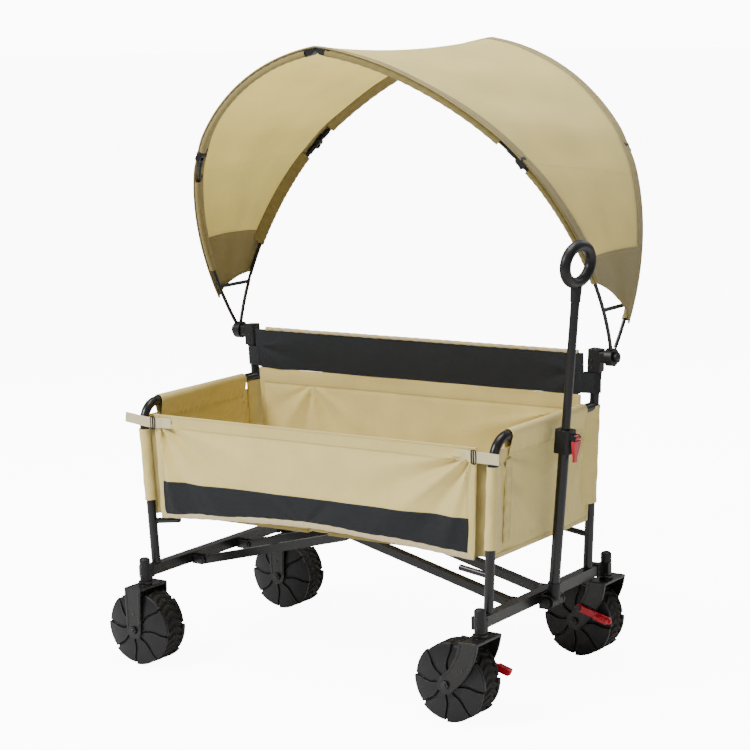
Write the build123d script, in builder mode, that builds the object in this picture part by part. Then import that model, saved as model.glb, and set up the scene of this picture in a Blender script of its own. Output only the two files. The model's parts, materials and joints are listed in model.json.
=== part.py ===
"""Kids pull wagon: folding steel frame, fabric basket, telescoping handle and sun canopy.

Units are millimetres. The origin is on the ground, midway between the two end frames.
+X is the front (handle end), -X the rear, -Y the near side with the drop-down panel,
+Y the far side with the high back and the canopy, and +Z is up.
"""

import os
from math import atan2, cos, degrees, radians, sin, tan

from build123d import *

# ---- Driving dimensions ----
POST_X = 470.0  # end-frame posts, at the top of the crossbar
POST_Y = 225.0
LEAN = 3.2  # degrees, each end frame leans outward
TUBE_R = 11.0
TUBE_WALL = 1.5
CROSSBAR = 25.0  # square tube
CROSSBAR_WALL = 2.0
CROSSBAR_TOP = 229.0
CROSSBAR_END = 272.0
TOP_TUBE_Z = 618.0
CORNER_R = 50.0
BACK_POST_Z = 745.0
STUB_Z = {-1: 331.0, 1: 311.0}  # short floor supports on the posts, rear and front
STUB_Y = 219.5
STUB_LENGTH = 80.0
STUB_RISE = 8.0  # degrees
STUB_R = 7.0

SOCKET_Y = 287.0  # wheel stems
SOCKET_SHIFT = 16.0  # each stem stands this far forward of its crossbar
SOCKET_R = 13.0
SOCKET_LOW = 200.0
SOCKET_TOP = 249.0
STEM_R = 8.0
RUNNING = 0.05  # radial running clearance

WHEEL_R = 90.0
WHEEL_HALF = 40.0  # half the tyre's width
RIM_R = 80.0
HUB_R = 16.0
HUB_HALF = 45.5
AXLE_R = 6.0
LEG_IN = 46.0  # fork legs, from the middle of the wheel
LEG_OUT = 51.0
CROWN_LOW = 186.0
CROWN_TOP = 191.0
TRAIL = 60.0  # front hubs trail their stems by this much
HUB_PLATE_R = 21.0

SLEEVE = 29.0  # square sleeve of each socket over the crossbar
SLEEVE_START = 250.0
SLEEVE_STOP = 274.0
CAP_H = 7.0
CAP_CHAMFER = 4.0
STEM_TOP = 240.0
COLLAR_R = 17.0
LEG_TOP_HALF = 24.0
LEG_FRONT_BEND = (4.0, 130.0)  # points on a caster leg's curved edges, from the stem's axis
LEG_BACK_BEND = (-37.0, 150.0)
BOLT_HEAD_R = 10.0
BOLT_HEAD_H = 6.0
RIM_HALF = 37.0
WEB_HALF = 8.0
BARREL = 6.0

PEDAL_PIVOT = (-44.0, 126.0)  # forward of the stem's axis, and height
PEDAL_TIP = (34.0, 104.0)
PEDAL_PIN_R = 4.0
PEDAL_T = 8.0
PEDAL_GAP = 0.6
PAD_W = 22.0

BAR_PIVOT_X = 428.0
BAR_PIVOT_Z = 211.0
BAR_RISE = 14.2  # degrees
BAR_W = 20.0
BAR_H = 20.0
BAR_Y = {-1: 90.0, 1: 66.0}  # rear and front bars
PIN_R = 5.0
PLATE = 3.0  # bracket plate thickness
PLATE_GAP = 0.5

FLOOR_HINGE_X = 455.0
FLOOR_Z = 352.0  # middle of the floor boards
FLOOR_GAP = 28.0  # from each board's end to the fold line
BOARD = 8.0
BOARD_HALF_Y = 204.0

HANDLE_X = 504.0  # handle pivot
HANDLE_Z = 209.0
HANDLE_LEAN = 5.5  # degrees forward
EAR_IN = 23.0
EAR_OUT = 28.0
LOWER_R = 12.5
UPPER_R = 10.0
COLLAR_LOW = 345.0  # distances along the handle from its pivot
COLLAR_TOP = 398.0
UPPER_LOW = 290.0
GRIP_S = 771.0
GRIP_HALF_W = 57.0  # to the middle of the ring's bar
GRIP_HALF_H = 41.5
LEVER_OUT = 27.0  # cam lever pin, out from the handle's middle
LEVER_S = 384.0
LEVER_L = 56.0
LEVER_TOP_W = 30.0
LEVER_TAIL_W = 13.0
LEVER_PIN_R = 2.5
LUG_R = 6.0
LUG_HALF = 13.0
SLOT_HALF = 8.0
COLLAR_X = 40.0
COLLAR_Y = 38.0
COLLAR_LIP = 6.0
EAR_R = 16.0
YOKE_R = 15.0
YOKE_IN = 0.5
YOKE_TOP = 42.0
TUBE_FOOT = 14.0
GRIP_R = 12.5
FERRULE = 30.0

CANOPY_Z = 735.0  # canopy tilt axis
ARCH_TILT = 27.5  # degrees, each arch from the vertical
ARCH_BULGE = (541.0, 263.0)
SHOULDER = (447.0, 526.0)
ARCH_MIDDLE = (251.0, 708.0)
ARCH_TOP = 805.0
POLE_R = 4.5
POLE_WALL = 1.0
HUB_DISC_R = 21.0
HUB_IN = 528.0
HUB_THICK = 19.0
POLE_FOOT = (542.0, 23.0)
STRUT_H = 132.0  # spreader strut, up the arches
STRUT_X = 551.0
STRUT_W = 9.0
SHOULDER_Z = CANOPY_Z + SHOULDER[1] * cos(radians(ARCH_TILT))
SHEET_IN = 10.2  # canopy fabric, out from the middle of the poles
SHEET_OUT = 12.7
SHEET_LOW = 95.0  # from the foot of the poles to the fabric's lower edge
SHEET_GAP = 6.0  # slit in the fabric on each side of the shoulder axis
SHEET_EDGE = 6.0  # fabric past the middle of each arch

CLAMP_LOW = 700.0
CLAMP_W = 32.0
CLAMP_ARM_IN = 500.0
CLAMP_ARM_OUT = 526.0
CLAMP_ARM_W = 28.0
CLAMP_ARM_H = 26.0
PIN_HEAD_X = 549.0

JOINT_PIN_R = 3.0
JOINT_CLEAR = 14.0  # poles and sleeves stop this far from a joint's axis
JOINT_SLEEVE_R = 7.0
SLEEVE_END = 38.0
CHEEK_R = 9.5
CHEEK_IN = 5.0
CHEEK_T = 3.5
CHEEK_L = 18.0
CHEEK_WEB = 4.0
PIN_HALF = 10.0
TONGUE_HALF = 4.5
TONGUE_L = 20.0
TONGUE_SLEEVE = 15.0
TOP_BLOCK_W = 18.0
TOP_BLOCK_H = 8.0
TOP_BLOCK_L = 36.0
TOP_BLOCK_BORE = 14.0

PANEL_BOTTOM = 346.0
PANEL_TOP = 596.0
END_PANEL_TOP = 604.0
PANEL_HALF_LOW = 440.0
PANEL_HALF_TOP = 452.0
NEAR_PANEL_Y = -228.0
FAR_PANEL_Y = 207.0
BOW = 24.0  # rise of the near panel's lower edge at its middle
BAND_LOW = 645.0
BAND_TOP = 744.0
BAND_HALF = 474.0
FABRIC = 4.0
STRAP_Z = 578.0
STRAP_W = 25.0
STRAP_T = 1.6
STRAP_IN = 436.0
STRAP_OUT = 516.0
SLIDER_W = 12.0
SLIDER_H = 33.0
SLIDER_T = 4.0

ENDS = {"rear": -1, "front": 1}
SIDES = {"near": -1, "far": 1}


# ---- Shared geometry ----
def lean_plane(end):
    """The plane of an end frame: local x is along Y and local y runs up the leaning posts."""
    a = radians(LEAN)
    origin = (end * POST_X, 0, CROSSBAR_TOP)
    return Plane(origin=origin, x_dir=(0, 1, 0), z_dir=(cos(a), 0, -end * sin(a)))


def lean_cross(end, y, z=CROSSBAR_TOP):
    """The plane across a leaning post at height z; local x is along Y."""
    a = radians(LEAN)
    return Plane(origin=(end * post_x(z), y, z), x_dir=(0, 1, 0), z_dir=(end * sin(a), 0, cos(a)))


def up_post(z):
    """Length up a leaning post from the crossbar's top to height z."""
    return (z - CROSSBAR_TOP) / cos(radians(LEAN))


def post_x(z):
    """Distance of a post's middle from the YZ plane at height z."""
    return POST_X + (z - CROSSBAR_TOP) * tan(radians(LEAN))


def section_plane(wire, at=0.0):
    """The plane across a path at a fraction of its length."""
    return Plane(origin=wire @ at, z_dir=wire % at)


def handle_plane(s):
    """The plane across the handle at distance s from its pivot; local x is forward, y is +Y."""
    a = radians(HANDLE_LEAN)
    origin = (HANDLE_X + s * sin(a), 0, HANDLE_Z + s * cos(a))
    return Plane(origin=origin, x_dir=(cos(a), 0, -sin(a)), z_dir=(sin(a), 0, cos(a)))


def handle_side_plane():
    """The handle's middle plane: local x is forward and local y runs up the handle."""
    a = radians(HANDLE_LEAN)
    origin = (HANDLE_X, 0, HANDLE_Z)
    return Plane(origin=origin, x_dir=(cos(a), 0, -sin(a)), z_dir=(0, -1, 0))


def arch_plane(side):
    """The plane of a canopy arch: local x is X and local y runs up the arch."""
    a = radians(ARCH_TILT)
    return Plane(origin=(0, POST_Y, CANOPY_Z), x_dir=(1, 0, 0), z_dir=(0, -cos(a), side * sin(a)))


def side_plane(y):
    """A plane parallel to XZ at the given Y: local x is X and local y is Z. It faces -Y."""
    return Plane.XZ.offset(-y)


os.makedirs("parts", exist_ok=True)


# ---- End frames ----
def make_end_frame(end):
    """Bent near post and top tube, taller far post, crossbar and floor stubs, welded together."""
    plane = lean_plane(end)
    with BuildPart() as frame:
        with BuildLine(plane) as path:
            corner = up_post(TOP_TUBE_Z)
            FilletPolyline((-POST_Y, 0), (-POST_Y, corner), (POST_Y, corner), radius=CORNER_R)
        with BuildSketch(section_plane(path.line)):
            Circle(TUBE_R)
            Circle(TUBE_R - TUBE_WALL, mode=Mode.SUBTRACT)
        sweep(path=path.line)
        with BuildSketch(lean_cross(end, POST_Y)):
            Circle(TUBE_R)
        extrude(amount=up_post(BACK_POST_Z))
        run = STUB_LENGTH * cos(radians(STUB_RISE))
        rise = STUB_LENGTH * sin(radians(STUB_RISE))
        stub_x = post_x(STUB_Z[end])
        for side in SIDES.values():
            stub_start = (end * stub_x, side * STUB_Y, STUB_Z[end])
            stub_end = (end * (stub_x - run), side * STUB_Y, STUB_Z[end] + rise)
            with BuildLine() as stub_path:
                Line(stub_start, stub_end)
            with BuildSketch(section_plane(stub_path.line)):
                Circle(STUB_R)
            sweep(path=stub_path.line)
        with BuildSketch(lean_cross(end, POST_Y)):
            Circle(TUBE_R - TUBE_WALL)
        extrude(amount=up_post(BACK_POST_Z), mode=Mode.SUBTRACT)
        with BuildSketch(side_plane(-CROSSBAR_END)):
            with Locations((end * POST_X, CROSSBAR_TOP - CROSSBAR / 2)):
                Rectangle(CROSSBAR, CROSSBAR)
                Rectangle(CROSSBAR - 2 * CROSSBAR_WALL, CROSSBAR - 2 * CROSSBAR_WALL, mode=Mode.SUBTRACT)
        extrude(amount=-2 * CROSSBAR_END)
    return frame


for end_name, end in ENDS.items():
    end_frame = make_end_frame(end)
    end_frame.part.label = f"{end_name}_end_frame"
    export_step(end_frame.part, f"parts/{end_name}_end_frame.step")


# ---- Wheel stem sockets, on the crossbar's ends ----
def make_sockets(end):
    """Two sockets with their sleeves over the crossbar, and a cap on each."""
    bar_x = end * POST_X
    stem_x = bar_x + SOCKET_SHIFT
    with BuildPart() as sockets:
        for side in SIDES.values():
            y = side * SOCKET_Y
            with BuildSketch(Plane.XY.offset(SOCKET_LOW)):
                with Locations((stem_x, y)):
                    Circle(SOCKET_R)
            extrude(amount=SOCKET_TOP - SOCKET_LOW)
            with BuildSketch(side_plane(side * SLEEVE_START)):
                with Locations((bar_x, CROSSBAR_TOP - CROSSBAR / 2)):
                    Rectangle(SLEEVE, SLEEVE)
            extrude(amount=-side * (SLEEVE_STOP - SLEEVE_START))
            with BuildSketch(side_plane(side * SLEEVE_STOP)):
                with Locations((stem_x, CROSSBAR_TOP - CROSSBAR / 2)):
                    Rectangle(2 * SOCKET_R, SLEEVE)
            extrude(amount=-side * (SOCKET_Y - SLEEVE_STOP))
        for side in SIDES.values():
            with BuildSketch(side_plane(side * SLEEVE_START)):
                with Locations((bar_x, CROSSBAR_TOP - CROSSBAR / 2)):
                    Rectangle(CROSSBAR + 0.2, CROSSBAR + 0.2)
            extrude(amount=-side * (CROSSBAR_END + 0.1 - SLEEVE_START), mode=Mode.SUBTRACT)
            with BuildSketch(Plane.XY.offset(SOCKET_LOW)):
                with Locations((stem_x, side * SOCKET_Y)):
                    Circle(STEM_R + RUNNING)
            extrude(amount=SOCKET_TOP - SOCKET_LOW, mode=Mode.SUBTRACT)
            with BuildSketch(Plane.XY.offset(SOCKET_TOP)):
                with Locations((stem_x, side * SOCKET_Y)):
                    Circle(SOCKET_R)
            extrude(amount=CAP_H)
        chamfer(sockets.edges().group_by(Axis.Z)[-1], CAP_CHAMFER)
    return sockets


def draw_leg(trail):
    """Draws a fork leg in the current sketch: x is forward of the stem, y is up."""
    reach = HUB_PLATE_R
    top_back = (-LEG_TOP_HALF, CROWN_TOP)
    top_front = (LEG_TOP_HALF, CROWN_TOP)
    if trail:
        turn = radians(40)
        front_foot = (reach * cos(turn) - trail, WHEEL_R - reach * sin(turn))
        toe = (-reach * sin(turn) - trail, WHEEL_R - reach * cos(turn))
        back_foot = (-reach * cos(turn) - trail, WHEEL_R + reach * sin(turn))
    else:
        front_foot = (reach, WHEEL_R)
        toe = (0, WHEEL_R - reach)
        back_foot = (-reach, WHEEL_R)
    with BuildLine() as edge:
        Line(top_back, top_front)
        if trail:
            ThreePointArc(top_front, LEG_FRONT_BEND, front_foot)
        else:
            Line(top_front, front_foot)
        ThreePointArc(front_foot, toe, back_foot)
        if trail:
            ThreePointArc(back_foot, LEG_BACK_BEND, top_back)
        else:
            Line(back_foot, top_back)
    make_face(edge.edges())
    with Locations((-trail, WHEEL_R)):
        Circle(AXLE_R + RUNNING, mode=Mode.SUBTRACT)


def add_fork(stem_x, y, trail):
    """Adds a fork to the part being built: two legs, a crown, a thrust collar and a stem."""
    for leg_y in (y - LEG_OUT, y + LEG_IN):
        plane = Plane(origin=(stem_x, leg_y, 0), x_dir=(1, 0, 0), z_dir=(0, -1, 0))
        with BuildSketch(plane) as leg:
            draw_leg(trail)
        extrude(leg.sketch, amount=-(LEG_OUT - LEG_IN))
    with BuildSketch(Plane(origin=(stem_x, y, CROWN_LOW))) as crown:
        Rectangle(2 * LEG_TOP_HALF, 2 * LEG_OUT)
    extrude(crown.sketch, amount=CROWN_TOP - CROWN_LOW)
    with BuildSketch(Plane(origin=(stem_x, y, CROWN_TOP))) as collar:
        Circle(COLLAR_R)
    extrude(collar.sketch, amount=SOCKET_LOW - 0.5 - CROWN_TOP)
    with BuildSketch(Plane(origin=(stem_x, y, CROWN_TOP))) as stem:
        Circle(STEM_R)
    extrude(stem.sketch, amount=STEM_TOP - CROWN_TOP)


def make_axles(hubs):
    """One wheel bolt per hub, with a head at one end and a nut at the other."""
    with BuildPart() as axles:
        for x, y in hubs:
            with BuildSketch(side_plane(y - LEG_OUT)):
                with Locations((x, WHEEL_R)):
                    Circle(AXLE_R)
            extrude(amount=-2 * LEG_OUT)
            for face_y, out in ((y - LEG_OUT, 1), (y + LEG_OUT, -1)):
                with BuildSketch(side_plane(face_y)):
                    with Locations((x, WHEEL_R)):
                        RegularPolygon(BOLT_HEAD_R, 6)
                extrude(amount=out * BOLT_HEAD_H)
    return axles


for end_name, end in ENDS.items():
    sockets = make_sockets(end)
    sockets.part.label = f"{end_name}_stem_sockets"
    export_step(sockets.part, f"parts/{end_name}_stem_sockets.step")

rear_hub_x = SOCKET_SHIFT - POST_X
front_stem_x = SOCKET_SHIFT + POST_X
front_hub_x = front_stem_x - TRAIL

with BuildPart() as rear_forks:
    for side in SIDES.values():
        add_fork(rear_hub_x, side * SOCKET_Y, 0)
rear_forks.part.label = "rear_forks"
export_step(rear_forks.part, "parts/rear_forks.step")

rear_axles = make_axles([(rear_hub_x, side * SOCKET_Y) for side in SIDES.values()])
rear_axles.part.label = "rear_axles"
export_step(rear_axles.part, "parts/rear_axles.step")

for side_name, side in SIDES.items():
    with BuildPart() as fork:
        add_fork(front_stem_x, side * SOCKET_Y, TRAIL)
        inner_face = side * (SOCKET_Y - LEG_OUT)
        pin_x = front_stem_x + PEDAL_PIVOT[0]
        with BuildSketch(side_plane(inner_face)):
            with Locations((pin_x, PEDAL_PIVOT[1])):
                Circle(PEDAL_PIN_R)
        extrude(amount=side * (PEDAL_GAP + PEDAL_T + 1))
        with BuildSketch(side_plane(inner_face - side * (PEDAL_GAP + PEDAL_T + 0.5))):
            with Locations((pin_x, PEDAL_PIVOT[1])):
                Circle(PEDAL_PIN_R + 3)
        extrude(amount=side * 2.5)
    fork.part.label = f"{side_name}_caster_fork"
    export_step(fork.part, f"parts/{side_name}_caster_fork.step")

    caster_axle = make_axles([(front_hub_x, side * SOCKET_Y)])
    caster_axle.part.label = f"{side_name}_caster_axle"
    export_step(caster_axle.part, f"parts/{side_name}_caster_axle.step")


# ---- Brake pedals, on the inner leg of each caster ----
def make_pedal(side):
    """A lever plate from its pivot to a wider foot pad."""
    near_face = side * (SOCKET_Y - LEG_OUT - PEDAL_GAP)
    pivot = (front_stem_x + PEDAL_PIVOT[0], PEDAL_PIVOT[1])
    tip = (front_stem_x + PEDAL_TIP[0], PEDAL_TIP[1])
    drop = degrees(atan2(tip[1] - pivot[1], tip[0] - pivot[0]))
    with BuildPart() as pedal:
        with BuildSketch(side_plane(near_face)):
            with BuildLine():
                spine = Line(pivot, tip)
            with Locations(spine @ 0.5):
                Rectangle(spine.length, 16, rotation=drop)
            with Locations(pivot):
                Circle(9)
            with Locations(tip):
                Circle(8)
        extrude(amount=side * PEDAL_T)
        with BuildSketch(side_plane(near_face)):
            with Locations(spine @ 0.82):
                Rectangle(34, 9, rotation=drop)
        extrude(amount=side * PAD_W)
        with BuildSketch(side_plane(near_face)):
            with Locations(pivot):
                Circle(PEDAL_PIN_R + RUNNING)
        extrude(amount=side * PEDAL_T, mode=Mode.SUBTRACT)
    return pedal


for side_name, side in SIDES.items():
    brake_pedal = make_pedal(side)
    brake_pedal.part.label = f"{side_name}_brake_pedal"
    export_step(brake_pedal.part, f"parts/{side_name}_brake_pedal.step")


# ---- Wheels ----
def make_rim(x, y):
    """A bored hub, a web and a barrel for the tyre."""
    with BuildPart() as rim:
        with BuildSketch(side_plane(y - WEB_HALF)):
            with Locations((x, WHEEL_R)):
                Circle(RIM_R - 1)
        extrude(amount=-2 * WEB_HALF)
        with BuildSketch(side_plane(y - RIM_HALF)):
            with Locations((x, WHEEL_R)):
                Circle(RIM_R - RUNNING)
                Circle(RIM_R - BARREL, mode=Mode.SUBTRACT)
        extrude(amount=-2 * RIM_HALF)
        with BuildSketch(side_plane(y - HUB_HALF)):
            with Locations((x, WHEEL_R)):
                Circle(HUB_R)
        extrude(amount=-2 * HUB_HALF)
        with BuildSketch(side_plane(y - HUB_HALF)):
            with Locations((x, WHEEL_R)):
                Circle(AXLE_R + RUNNING)
        extrude(amount=-2 * HUB_HALF, mode=Mode.SUBTRACT)
    return rim


def make_tyre(x, y):
    """A wide ring with rounded shoulders."""
    with BuildPart() as tyre:
        with BuildSketch(Plane(origin=(x, y, WHEEL_R), x_dir=(0, 1, 0), z_dir=(1, 0, 0))):
            with BuildLine():
                Line((-WHEEL_HALF + 3, RIM_R), (WHEEL_HALF - 3, RIM_R))
                Line((WHEEL_HALF - 3, RIM_R), (WHEEL_HALF, RIM_R + 2))
                ThreePointArc((WHEEL_HALF, RIM_R + 2), (WHEEL_HALF - 2, WHEEL_R - 3), (WHEEL_HALF - 7, WHEEL_R))
                Line((WHEEL_HALF - 7, WHEEL_R), (7 - WHEEL_HALF, WHEEL_R))
                ThreePointArc((7 - WHEEL_HALF, WHEEL_R), (2 - WHEEL_HALF, WHEEL_R - 3), (-WHEEL_HALF, RIM_R + 2))
                Line((-WHEEL_HALF, RIM_R + 2), (-WHEEL_HALF + 3, RIM_R))
            make_face()
        revolve(axis=Axis((x, y, WHEEL_R), (0, 1, 0)))
    return tyre


for end_name, hub_x in (("rear", rear_hub_x), ("front", front_hub_x)):
    for side_name, side in SIDES.items():
        wheel = f"{side_name}_{end_name}"
        rim = make_rim(hub_x, side * SOCKET_Y)
        rim.part.label = f"{wheel}_rim"
        export_step(rim.part, f"parts/{wheel}_rim.step")
        tyre = make_tyre(hub_x, side * SOCKET_Y)
        tyre.part.label = f"{wheel}_tyre"
        export_step(tyre.part, f"parts/{wheel}_tyre.step")


# ---- Folding bars under the floor ----
def make_brackets(end):
    """Two forked brackets on the crossbar's inner face, each with its hinge pin."""
    inner_face = end * (POST_X - CROSSBAR / 2)
    with BuildPart() as brackets:
        for side in SIDES.values():
            y = side * BAR_Y[end]
            for plate_y in (y - BAR_W / 2 - PLATE_GAP - PLATE, y + BAR_W / 2 + PLATE_GAP):
                with BuildSketch(side_plane(plate_y)):
                    with Locations(((inner_face + end * BAR_PIVOT_X) / 2, BAR_PIVOT_Z)):
                        Rectangle(abs(inner_face) - BAR_PIVOT_X, BAR_H)
                    with Locations((end * BAR_PIVOT_X, BAR_PIVOT_Z)):
                        Circle(BAR_H / 2)
                extrude(amount=-PLATE)
            with BuildSketch(Plane.YZ.offset(inner_face - end * PLATE)):
                with Locations((y, BAR_PIVOT_Z)):
                    Rectangle(BAR_W + 2 * PLATE, BAR_H)
            extrude(amount=end * PLATE)
            with BuildSketch(side_plane(y - BAR_W / 2 - PLATE_GAP - PLATE - 3)):
                with Locations((end * BAR_PIVOT_X, BAR_PIVOT_Z)):
                    Circle(PIN_R)
            extrude(amount=-(BAR_W + 2 * PLATE_GAP + 2 * PLATE + 6))
    return brackets


def make_fold_bars(end):
    """Two square bars rising from their bracket to the centre pivot."""
    rise = radians(BAR_RISE)
    length = BAR_PIVOT_X / cos(rise)
    plane_dir = (-end * cos(rise), 0, sin(rise))
    with BuildPart() as bars:
        for side in SIDES.values():
            start = (end * BAR_PIVOT_X, side * BAR_Y[end] - BAR_W / 2, BAR_PIVOT_Z)
            plane = Plane(origin=start, x_dir=plane_dir, z_dir=(0, -1, 0))
            with BuildSketch(plane):
                with Locations((length / 2, 0)):
                    Rectangle(length, BAR_H)
                with Locations((0, 0), (length, 0)):
                    Circle(BAR_H / 2)
                    Circle(PIN_R + RUNNING, mode=Mode.SUBTRACT)
            extrude(amount=-BAR_W)
    return bars


for end_name, end in ENDS.items():
    bar_brackets = make_brackets(end)
    bar_brackets.part.label = f"{end_name}_bar_brackets"
    export_step(bar_brackets.part, f"parts/{end_name}_bar_brackets.step")
    fold_bars = make_fold_bars(end)
    fold_bars.part.label = f"{end_name}_fold_bars"
    export_step(fold_bars.part, f"parts/{end_name}_fold_bars.step")

centre_z = BAR_PIVOT_Z + BAR_PIVOT_X * tan(radians(BAR_RISE))
rod_half = BAR_Y[ENDS["rear"]] + BAR_W / 2 + 3
with BuildPart() as centre_rod:
    with BuildSketch(side_plane(-rod_half)):
        with Locations((0, centre_z)):
            Circle(PIN_R)
    extrude(amount=-2 * rod_half)
    for side in SIDES.values():
        with BuildSketch(side_plane(side * rod_half)):
            with Locations((0, centre_z)):
                Circle(PIN_R + 4)
        extrude(amount=-side * 4)
centre_rod.part.label = "centre_rod"
export_step(centre_rod.part, "parts/centre_rod.step")

# ---- Floor boards, hinged at the end frames ----
for end_name, end in ENDS.items():
    with BuildPart() as board:
        with BuildSketch(Plane.XY.offset(FLOOR_Z - BOARD / 2)):
            with Locations((end * (FLOOR_HINGE_X + FLOOR_GAP) / 2, 0)):
                Rectangle(FLOOR_HINGE_X - FLOOR_GAP, 2 * BOARD_HALF_Y)
        extrude(amount=BOARD)
    board.part.label = f"{end_name}_floor_board"
    export_step(board.part, f"parts/{end_name}_floor_board.step")

# ---- Handle: bracket, yoke, telescoping tubes, clamp collar with its cam lever, and grip ----
handle_side = handle_side_plane()
bar_face = POST_X + CROSSBAR / 2

with BuildPart() as handle_bracket:
    for ear_y in (-EAR_OUT, EAR_IN):
        with BuildSketch(side_plane(ear_y)):
            with Locations(((bar_face + HANDLE_X) / 2, HANDLE_Z)):
                Rectangle(HANDLE_X - bar_face, 2 * EAR_R)
            with Locations((HANDLE_X, HANDLE_Z)):
                Circle(EAR_R)
                Circle(PIN_R, mode=Mode.SUBTRACT)
        extrude(amount=-(EAR_OUT - EAR_IN))
    with BuildSketch(Plane.YZ.offset(bar_face)):
        with Locations((0, HANDLE_Z)):
            Rectangle(2 * EAR_OUT, 2 * EAR_R)
    extrude(amount=PLATE)
handle_bracket.part.label = "handle_bracket"
export_step(handle_bracket.part, "parts/handle_bracket.step")

with BuildPart() as handle_bolt:
    with BuildSketch(side_plane(-EAR_OUT)):
        with Locations((HANDLE_X, HANDLE_Z)):
            Circle(PIN_R - RUNNING)
    extrude(amount=-2 * EAR_OUT)
    for side in SIDES.values():
        with BuildSketch(side_plane(side * EAR_OUT)):
            with Locations((HANDLE_X, HANDLE_Z)):
                Circle(BOLT_HEAD_R)
        extrude(amount=-side * BOLT_HEAD_H)
handle_bolt.part.label = "handle_bolt"
export_step(handle_bolt.part, "parts/handle_bolt.step")

with BuildPart() as handle_yoke:
    with BuildSketch(side_plane(YOKE_IN - EAR_IN)):
        with Locations((HANDLE_X, HANDLE_Z)):
            Circle(YOKE_R)
    extrude(amount=-2 * (EAR_IN - YOKE_IN))
    with BuildSketch(handle_plane(0)):
        Circle(YOKE_R)
    extrude(amount=YOKE_TOP)
    with BuildSketch(handle_plane(TUBE_FOOT)):
        Circle(LOWER_R)
    extrude(amount=YOKE_TOP, mode=Mode.SUBTRACT)
    with BuildSketch(side_plane(-EAR_IN)):
        with Locations((HANDLE_X, HANDLE_Z)):
            Circle(PIN_R)
    extrude(amount=-2 * EAR_IN, mode=Mode.SUBTRACT)
handle_yoke.part.label = "handle_yoke"
export_step(handle_yoke.part, "parts/handle_yoke.step")

with BuildPart() as lower_handle_tube:
    with BuildSketch(handle_plane(TUBE_FOOT)):
        Circle(LOWER_R)
        Circle(LOWER_R - TUBE_WALL, mode=Mode.SUBTRACT)
    extrude(amount=COLLAR_TOP - COLLAR_LIP - TUBE_FOOT)
lower_handle_tube.part.label = "lower_handle_tube"
export_step(lower_handle_tube.part, "parts/lower_handle_tube.step")

with BuildPart() as handle_collar:
    with BuildSketch(handle_plane(COLLAR_LOW)):
        RectangleRounded(COLLAR_X, COLLAR_Y, 9)
    extrude(amount=COLLAR_TOP - COLLAR_LOW)
    with BuildSketch(handle_side.offset(LUG_HALF)):
        with Locations((LEVER_OUT, LEVER_S)):
            Circle(LUG_R)
        with Locations((LEVER_OUT / 2 + 3, LEVER_S)):
            Rectangle(LEVER_OUT - 6, 2 * LUG_R)
    extrude(amount=-2 * LUG_HALF)
    with BuildSketch(handle_side.offset(SLOT_HALF)):
        with Locations((LEVER_OUT, LEVER_S)):
            Circle(LUG_R + 2)
    extrude(amount=-2 * SLOT_HALF, mode=Mode.SUBTRACT)
    with BuildSketch(handle_side.offset(LUG_HALF)):
        with Locations((LEVER_OUT, LEVER_S)):
            Circle(LEVER_PIN_R)
    extrude(amount=-2 * LUG_HALF)
    with BuildSketch(handle_plane(COLLAR_LOW)):
        Circle(LOWER_R)
    extrude(amount=COLLAR_TOP - COLLAR_LIP - COLLAR_LOW, mode=Mode.SUBTRACT)
    with BuildSketch(handle_plane(COLLAR_LOW)):
        Circle(UPPER_R + RUNNING)
    extrude(amount=COLLAR_TOP - COLLAR_LOW, mode=Mode.SUBTRACT)
handle_collar.part.label = "handle_collar"
export_step(handle_collar.part, "parts/handle_collar.step")

with BuildPart() as cam_lever:
    with BuildSketch(handle_side.offset(SLOT_HALF - 0.3)):
        with Locations((LEVER_OUT, LEVER_S)):
            Circle(LUG_R)
    extrude(amount=0.6 - 2 * SLOT_HALF)
    with BuildSketch(handle_side.offset(LEVER_TOP_W / 2)):
        with BuildLine():
            Polyline(
                (LEVER_OUT - 3, LEVER_S - LUG_R - 1),
                (LEVER_OUT + LUG_R, LEVER_S - LUG_R - 1),
                (LEVER_OUT + 4, LEVER_S - LEVER_L),
                (LEVER_OUT - 1, LEVER_S - LEVER_L),
                close=True,
            )
        make_face()
    extrude(amount=-LEVER_TOP_W)
    with BuildSketch(handle_side.offset(SLOT_HALF - 0.3)):
        with Locations((LEVER_OUT + 1, LEVER_S - LUG_R)):
            Rectangle(LUG_R, LUG_R)
    extrude(amount=0.6 - 2 * SLOT_HALF)
    lever_front = handle_side.from_local_coords((LEVER_OUT + 30, LEVER_S, 0))
    with BuildSketch(Plane(origin=lever_front, x_dir=(0, -1, 0), z_dir=-handle_side.x_dir)):
        with BuildLine():
            Polyline(
                (-LEVER_TOP_W / 2, 20),
                (LEVER_TOP_W / 2, 20),
                (LEVER_TOP_W / 2, -LUG_R - 10),
                (LEVER_TAIL_W / 2, -LEVER_L + 12),
                (LEVER_TAIL_W / 2, -LEVER_L - 1),
                (-LEVER_TAIL_W / 2, -LEVER_L - 1),
                (-LEVER_TAIL_W / 2, -LEVER_L + 12),
                (-LEVER_TOP_W / 2, -LUG_R - 10),
                close=True,
            )
        make_face()
    extrude(amount=60, mode=Mode.INTERSECT)
    with BuildSketch(handle_side.offset(LUG_HALF)):
        with Locations((LEVER_OUT, LEVER_S)):
            Circle(LEVER_PIN_R + RUNNING)
    extrude(amount=-2 * LUG_HALF, mode=Mode.SUBTRACT)
cam_lever.part.label = "cam_lever"
export_step(cam_lever.part, "parts/cam_lever.step")

ring_low = GRIP_S - GRIP_HALF_H - GRIP_R
with BuildPart() as upper_handle_tube:
    with BuildSketch(handle_plane(UPPER_LOW)):
        Circle(UPPER_R)
        Circle(UPPER_R - TUBE_WALL, mode=Mode.SUBTRACT)
    extrude(amount=ring_low - 6 - UPPER_LOW)
upper_handle_tube.part.label = "upper_handle_tube"
export_step(upper_handle_tube.part, "parts/upper_handle_tube.step")

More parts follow.
